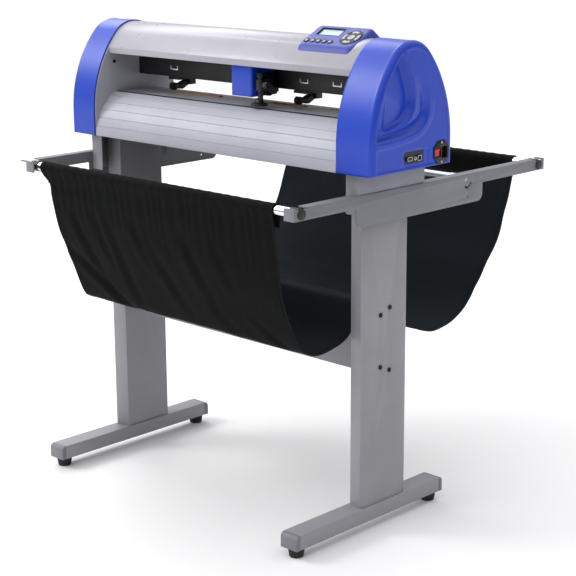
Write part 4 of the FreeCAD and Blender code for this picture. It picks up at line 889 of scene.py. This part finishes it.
def add_panel():
    add_panel_shell()
    for number, x in enumerate(BUTTONS_X, 1):
        centre = on_panel(x, BUTTONS_UP)
        button = turned("soft_button_%d" % number, "button_%d" % number, "button_silver",
                        centre, "panel",
                        [(-6, 4.5), (0.2, 4.5), (0.9, 4.3), (1.4, 3.7), (1.7, 2.7),
                         (1.8, 1.4), (1.8, 0.05)], 40)
        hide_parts("menu_button_%d" % number)
        ring_band("button_collar_%d" % number, centre,
                  [(4.8, -1.5), (4.8, 0.9), (5.2, 1.5), (6.2, 1.5), (6.9, 0.8), (7.1, -0.3),
                   (6.9, -1.5)], "key_black", 40)
    centre = on_panel(*PAD_AT)
    ring_band("pad_rim", centre, [(22.9, -7), (22.9, 0.7), (23.4, 1.2), (25.2, 1.2),
                                  (26.3, 0.5), (26.7, -0.3), (26.2, -1.2), (24.3, -1.2),
                                  (24.3, -7)], "key_black", 96)
    ring_band("pad_ring", centre, [(9.5, -7), (9.5, 0.3), (10, 0.8), (14, 0.8), (14.5, 0.3),
                                   (14.5, -7)], "key_black", 72)
    for index in range(4):
        arc_block("pad_spoke_%d" % index, "machine", "key_black", (14.5, 22.9),
                  45 + 90 * index, 12.5, -7, 0.5, 0.3)
    for way, turn in (("right", 0), ("up", 90), ("left", 180), ("down", 270)):
        key = arc_block("arc_key_" + way, "pad_" + way, SLOT_OF["key_" + way], (15, 22.4),
                        turn, 30, -5.4, 1.6)
        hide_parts("key_" + way)
    enter = turned("soft_enter", "pad_enter", "button_silver", centre, "panel",
                   [(-5.4, 8.9), (0.6, 8.9), (1.3, 8.5), (1.6, 7.6), (1.4, 6), (1.0, 3),
                    (0.9, 0.05)], 64)
    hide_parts("key_enter")
    # A black ring down the walls of the display's recess: painted shade, standing in for the
    # shadow inside the recess.
    lcd_frame("lcd_recess_painted_shade", "key_black", (
        (0.15, -0.3), (0.9, -0.5), (1.4, -3.0), (1.4, -4.6), (0.15, -4.6)))
    lcd_frame("lcd_lip", "panel_blue", ((-1.4, -0.2), (-1.2, 0.35), (-0.5, 0.55), (0.1, 0.3),
                                        (0.1, -1.4), (-1.4, -1.4)))
    glass = lcd_corners(((1.5, -4.4), (1.5, -3.3), (2.1, -3.1)))
    faces = grid_faces(3, 4, wrap=True) + [(3, 2, 1, 0), (8, 9, 10, 11)]
    screen = piece("lcd_glass", glass, faces, "machine", "lcd_film", smooth=False)
    outward(screen)
    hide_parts("lcd_window")


def lcd_corners(profile):
    """The display's corners on the panel, once for each (inset, height)."""
    left, right, low, high = LCD_BOX
    return [on_panel(x, up, height) for inset, height in profile for x, up in (
        (left + inset, low + inset), (right - inset, low + inset),
        (right - inset, high - inset), (left + inset, high - inset))]


def lcd_frame(name, slot, profile):
    """A rectangular ring around the display: profile lists (inset, height)."""
    points = lcd_corners(profile)
    faces = grid_faces(len(profile), 4, wrap=True)
    last = (len(profile) - 1) * 4
    faces += [(last + side, last + (side + 1) % 4, (side + 1) % 4, side) for side in range(4)]
    outward(piece(name, points, faces, "machine", slot, smooth=False))


def add_tool():
    x, y = 96, -174.5
    holder = turned("pen_holder", "tool", "holder_metal", (x, y, 0), "z",
                    [(920, 2.2), (921, 2.6), (929, 5.6), (930.5, 6), (947, 6), (949, 6),
                     (978, 6), (979.5, 6), (980, 7.4), (981, 8), (989, 8), (990, 7.2)],
                    ridges=30, depth=0.5, span=(980.5, 989.5))
    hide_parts("blade_holder")
    foot = turned("tool_foot", "tool", "tool_black", (x - 3, y - 1, 0), "z",
                  [(917.6, 6.4), (917.6, 18), (918.4, 19), (921.5, 19), (923.4, 17),
                   (925.2, 11), (928, 8.4), (933.5, 7.6), (934, 6.4)], 64)
    ring_ends(foot, 64)
    knob = turned("clamp_grip", "knob", "tool_black", (0, y, 964), "x",
                  [(x + 6.5, 2.45), (x + 10.3, 2.45), (x + 10.5, 6.2), (x + 11.3, 7),
                   (x + 22, 7), (x + 23, 6.2), (x + 23, 5), (x + 22.3, 4.4)],
                  ridges=24, depth=0.7, span=(x + 11, x + 22.5))
    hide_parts("clamp_knob")


def ring_ends(thing, sides):
    """Turn a turned piece's two flat ends into one bore between them."""
    shape = bmesh.new()
    shape.from_mesh(thing.data)
    ends = [face for face in shape.faces if len(face.verts) == sides]
    loops = [[edge for edge in face.edges] for face in ends]
    bmesh.ops.delete(shape, geom=ends, context="FACES_ONLY")
    bmesh.ops.bridge_loops(shape, edges=loops[0] + loops[1])
    bmesh.ops.recalc_face_normals(shape, faces=shape.faces)
    shape.to_mesh(thing.data)
    shape.free()


def add_wheels():
    for side, x, body in (("left", -292, "pinch_wheel_l"), ("right", 128, "pinch_wheel_r")):
        outline = [(x - 6, 2.1), (x - 6, 8.2), (x - 5.4, 9)]
        for groove in range(4):
            at = x - 3.5 + groove * 3
            outline += [(at, 9), (at + 0.3, 8.3), (at + 0.9, 8.3), (at + 1.2, 9)]
        outline += [(x + 7.4, 9), (x + 8, 8.2), (x + 8, 2.1)]
        wheel = tube("grip_wheel_" + side, body, "wheel_rubber", (0, -87, 923.5), outline)
        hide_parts("pinch_wheel_" + side)


def tube(name, body, slot, centre, outline, sides=56):
    """A turned ring about X whose outline's two ends are joined through the bore."""
    points = [Vector(centre) + Vector((along, radius * math.cos(math.tau * step / sides),
                                       radius * math.sin(math.tau * step / sides)))
              for along, radius in outline for step in range(sides)]
    rows = len(outline)
    faces = grid_faces(rows, sides, wrap=True)
    last = (rows - 1) * sides
    faces += [(last + step, last + (step + 1) % sides, (step + 1) % sides, step)
              for step in range(sides)]
    return crisp(piece(name, points, faces, body, slot))


def add_connectors():
    """Metal shells in the port plate: a data socket, a round jack and a small port."""
    x = 486.2
    sockets = ((-128.5, 835.5, 8, 4.2, 1.6), (-97, 834.5, 6.4, 5.6, 1.2))
    for index, (y, z, wide, tall, corner) in enumerate(sockets):
        loops = []
        for grow, out in ((0, 0), (0, 3.6), (-0.5, 3.9), (-1.1, 3.6), (-1.1, 0.4)):
            loops.append([(x + out, y + across * (wide + grow) + a, z + up * (tall + grow) + b)
                          for across, up, a, b in (
                              (-1, -1, corner, 0), (1, -1, -corner, 0), (1, -1, 0, corner),
                              (1, 1, 0, -corner), (1, 1, -corner, 0), (-1, 1, corner, 0),
                              (-1, 1, 0, -corner), (-1, -1, 0, corner))])
        faces = grid_faces(5, 8, wrap=True)
        faces += [(32 + step, 32 + (step + 1) % 8, (step + 1) % 8, step) for step in range(8)]
        outward(piece("port_shell_%d" % index, [point for loop in loops for point in loop],
                      faces, "machine", "clip_metal", smooth=False))
    tube("jack_ring", "machine", "clip_metal", (0, -111, 835),
         [(x, 2.4), (x + 3.4, 2.4), (x + 3.8, 2.9), (x + 3.6, 3.9), (x, 4.2)], 32)


def add_screws():
    """Two screws in the inlet plate, above and below the socket."""
    for index, up in enumerate((21, -21)):
        turned("inlet_screw_%d" % index, "machine", "clip_metal", (0, INLET_Y, INLET_Z + up), "x",
               [(489.4, 2.6), (490.3, 2.5), (490.6, 1.9), (490.2, 1.2), (489.8, 0.05)], 24)


for name, width in SOFT_EDGES.items():
    softened(name, width)
add_panel()
add_tool()
add_wheels()
add_screws()
add_connectors()
add_cloth()
add_cap("end_cover_left", "end_cap_left", -1)
add_cap("end_cover_right", "end_cap_right", 1)


# ------------------------------------------------------- camera, lights, floor
TARGET = Vector((0.1265, -0.122, 0.4953))
AZIMUTH, ELEVATION, ROLL = (math.radians(angle) for angle in (44.1964, 14.1991, -0.3242))
DISTANCE = 3.5101


def add_camera():
    data = bpy.data.cameras.new("camera")
    data.lens = 95.41
    data.sensor_width = 36
    data.clip_end = 200
    camera = added("camera", data)
    back = Vector((math.sin(AZIMUTH) * math.cos(ELEVATION),
                   -math.cos(AZIMUTH) * math.cos(ELEVATION), math.sin(ELEVATION)))
    camera.location = TARGET + back * DISTANCE
    aim = back.to_track_quat("Z", "Y").to_matrix() @ Matrix.Rotation(ROLL, 3, "Z")
    camera.rotation_euler = aim.to_euler()
    bpy.context.scene.camera = camera


def add_light(name, place, aim, size, power):
    data = bpy.data.lights.new(name, "AREA")
    data.shape = "RECTANGLE"
    data.size, data.size_y = size
    data.energy = power
    light = added(name, data)
    light.location = place
    light.rotation_euler = (Vector(place) - Vector(aim)).to_track_quat("Z", "Y").to_euler()


def add_stage():
    mesh = bpy.data.meshes.new("floor")
    half = 60
    mesh.from_pydata([(-half, -half, 0), (half, -half, 0), (half, half, 0), (-half, half, 0)],
                     [], [(0, 1, 2, 3)])
    floor = added("floor", mesh)
    shader = Shader("floor_paper", 0.9)
    shader.colour(shader.ramp(shader.noise(3, 2), [(0.0, srgb(243, 243, 243)),
                                                   (1.0, srgb(246, 246, 246))]))
    mesh.materials.append(shader.material)
    world = bpy.data.worlds.new("studio")
    bpy.context.scene.world = world
    world.use_nodes = True
    nodes, links = world.node_tree.nodes, world.node_tree.links
    sky = nodes["Background"]
    height = nodes.new("ShaderNodeSeparateXYZ")
    band = nodes.new("ShaderNodeValToRGB")
    links.new(nodes.new("ShaderNodeTexCoord").outputs["Generated"], height.inputs["Vector"])
    links.new(height.outputs["Z"], band.inputs["Fac"])
    across = nodes.new("ShaderNodeMapRange")
    for name, value in (("From Min", -1), ("From Max", 1), ("To Min", 1.15), ("To Max", 0.5)):
        across.inputs[name].default_value = value
    links.new(height.outputs["X"], across.inputs["Value"])
    glow = nodes.new("ShaderNodeVectorMath")
    glow.operation = "SCALE"
    links.new(band.outputs["Color"], glow.inputs[0])
    links.new(across.outputs["Result"], glow.inputs["Scale"])
    links.new(glow.outputs["Vector"], sky.inputs["Color"])
    stops = ((0.02, (0.09, 0.09, 0.1, 1)), (0.75, (1.0, 0.985, 1.0, 1)))
    for element, (at, colour) in zip(band.color_ramp.elements, stops):
        element.position, element.color = at, colour
    sky.inputs["Strength"].default_value = 1.66
    bpy.context.scene.view_settings.view_transform = "Standard"


add_camera()
add_stage()
centre = (0, -0.1, 0.6)
add_light("key", (-4.2, -3.2, 4.2), centre, (2.2, 2.2), 130)
add_light("front", (-0.8, -5.5, 2.6), centre, (2.6, 2.0), 22)
add_light("rear", (-4.2, 1.8, 4.4), centre, (3.0, 2.6), 70)
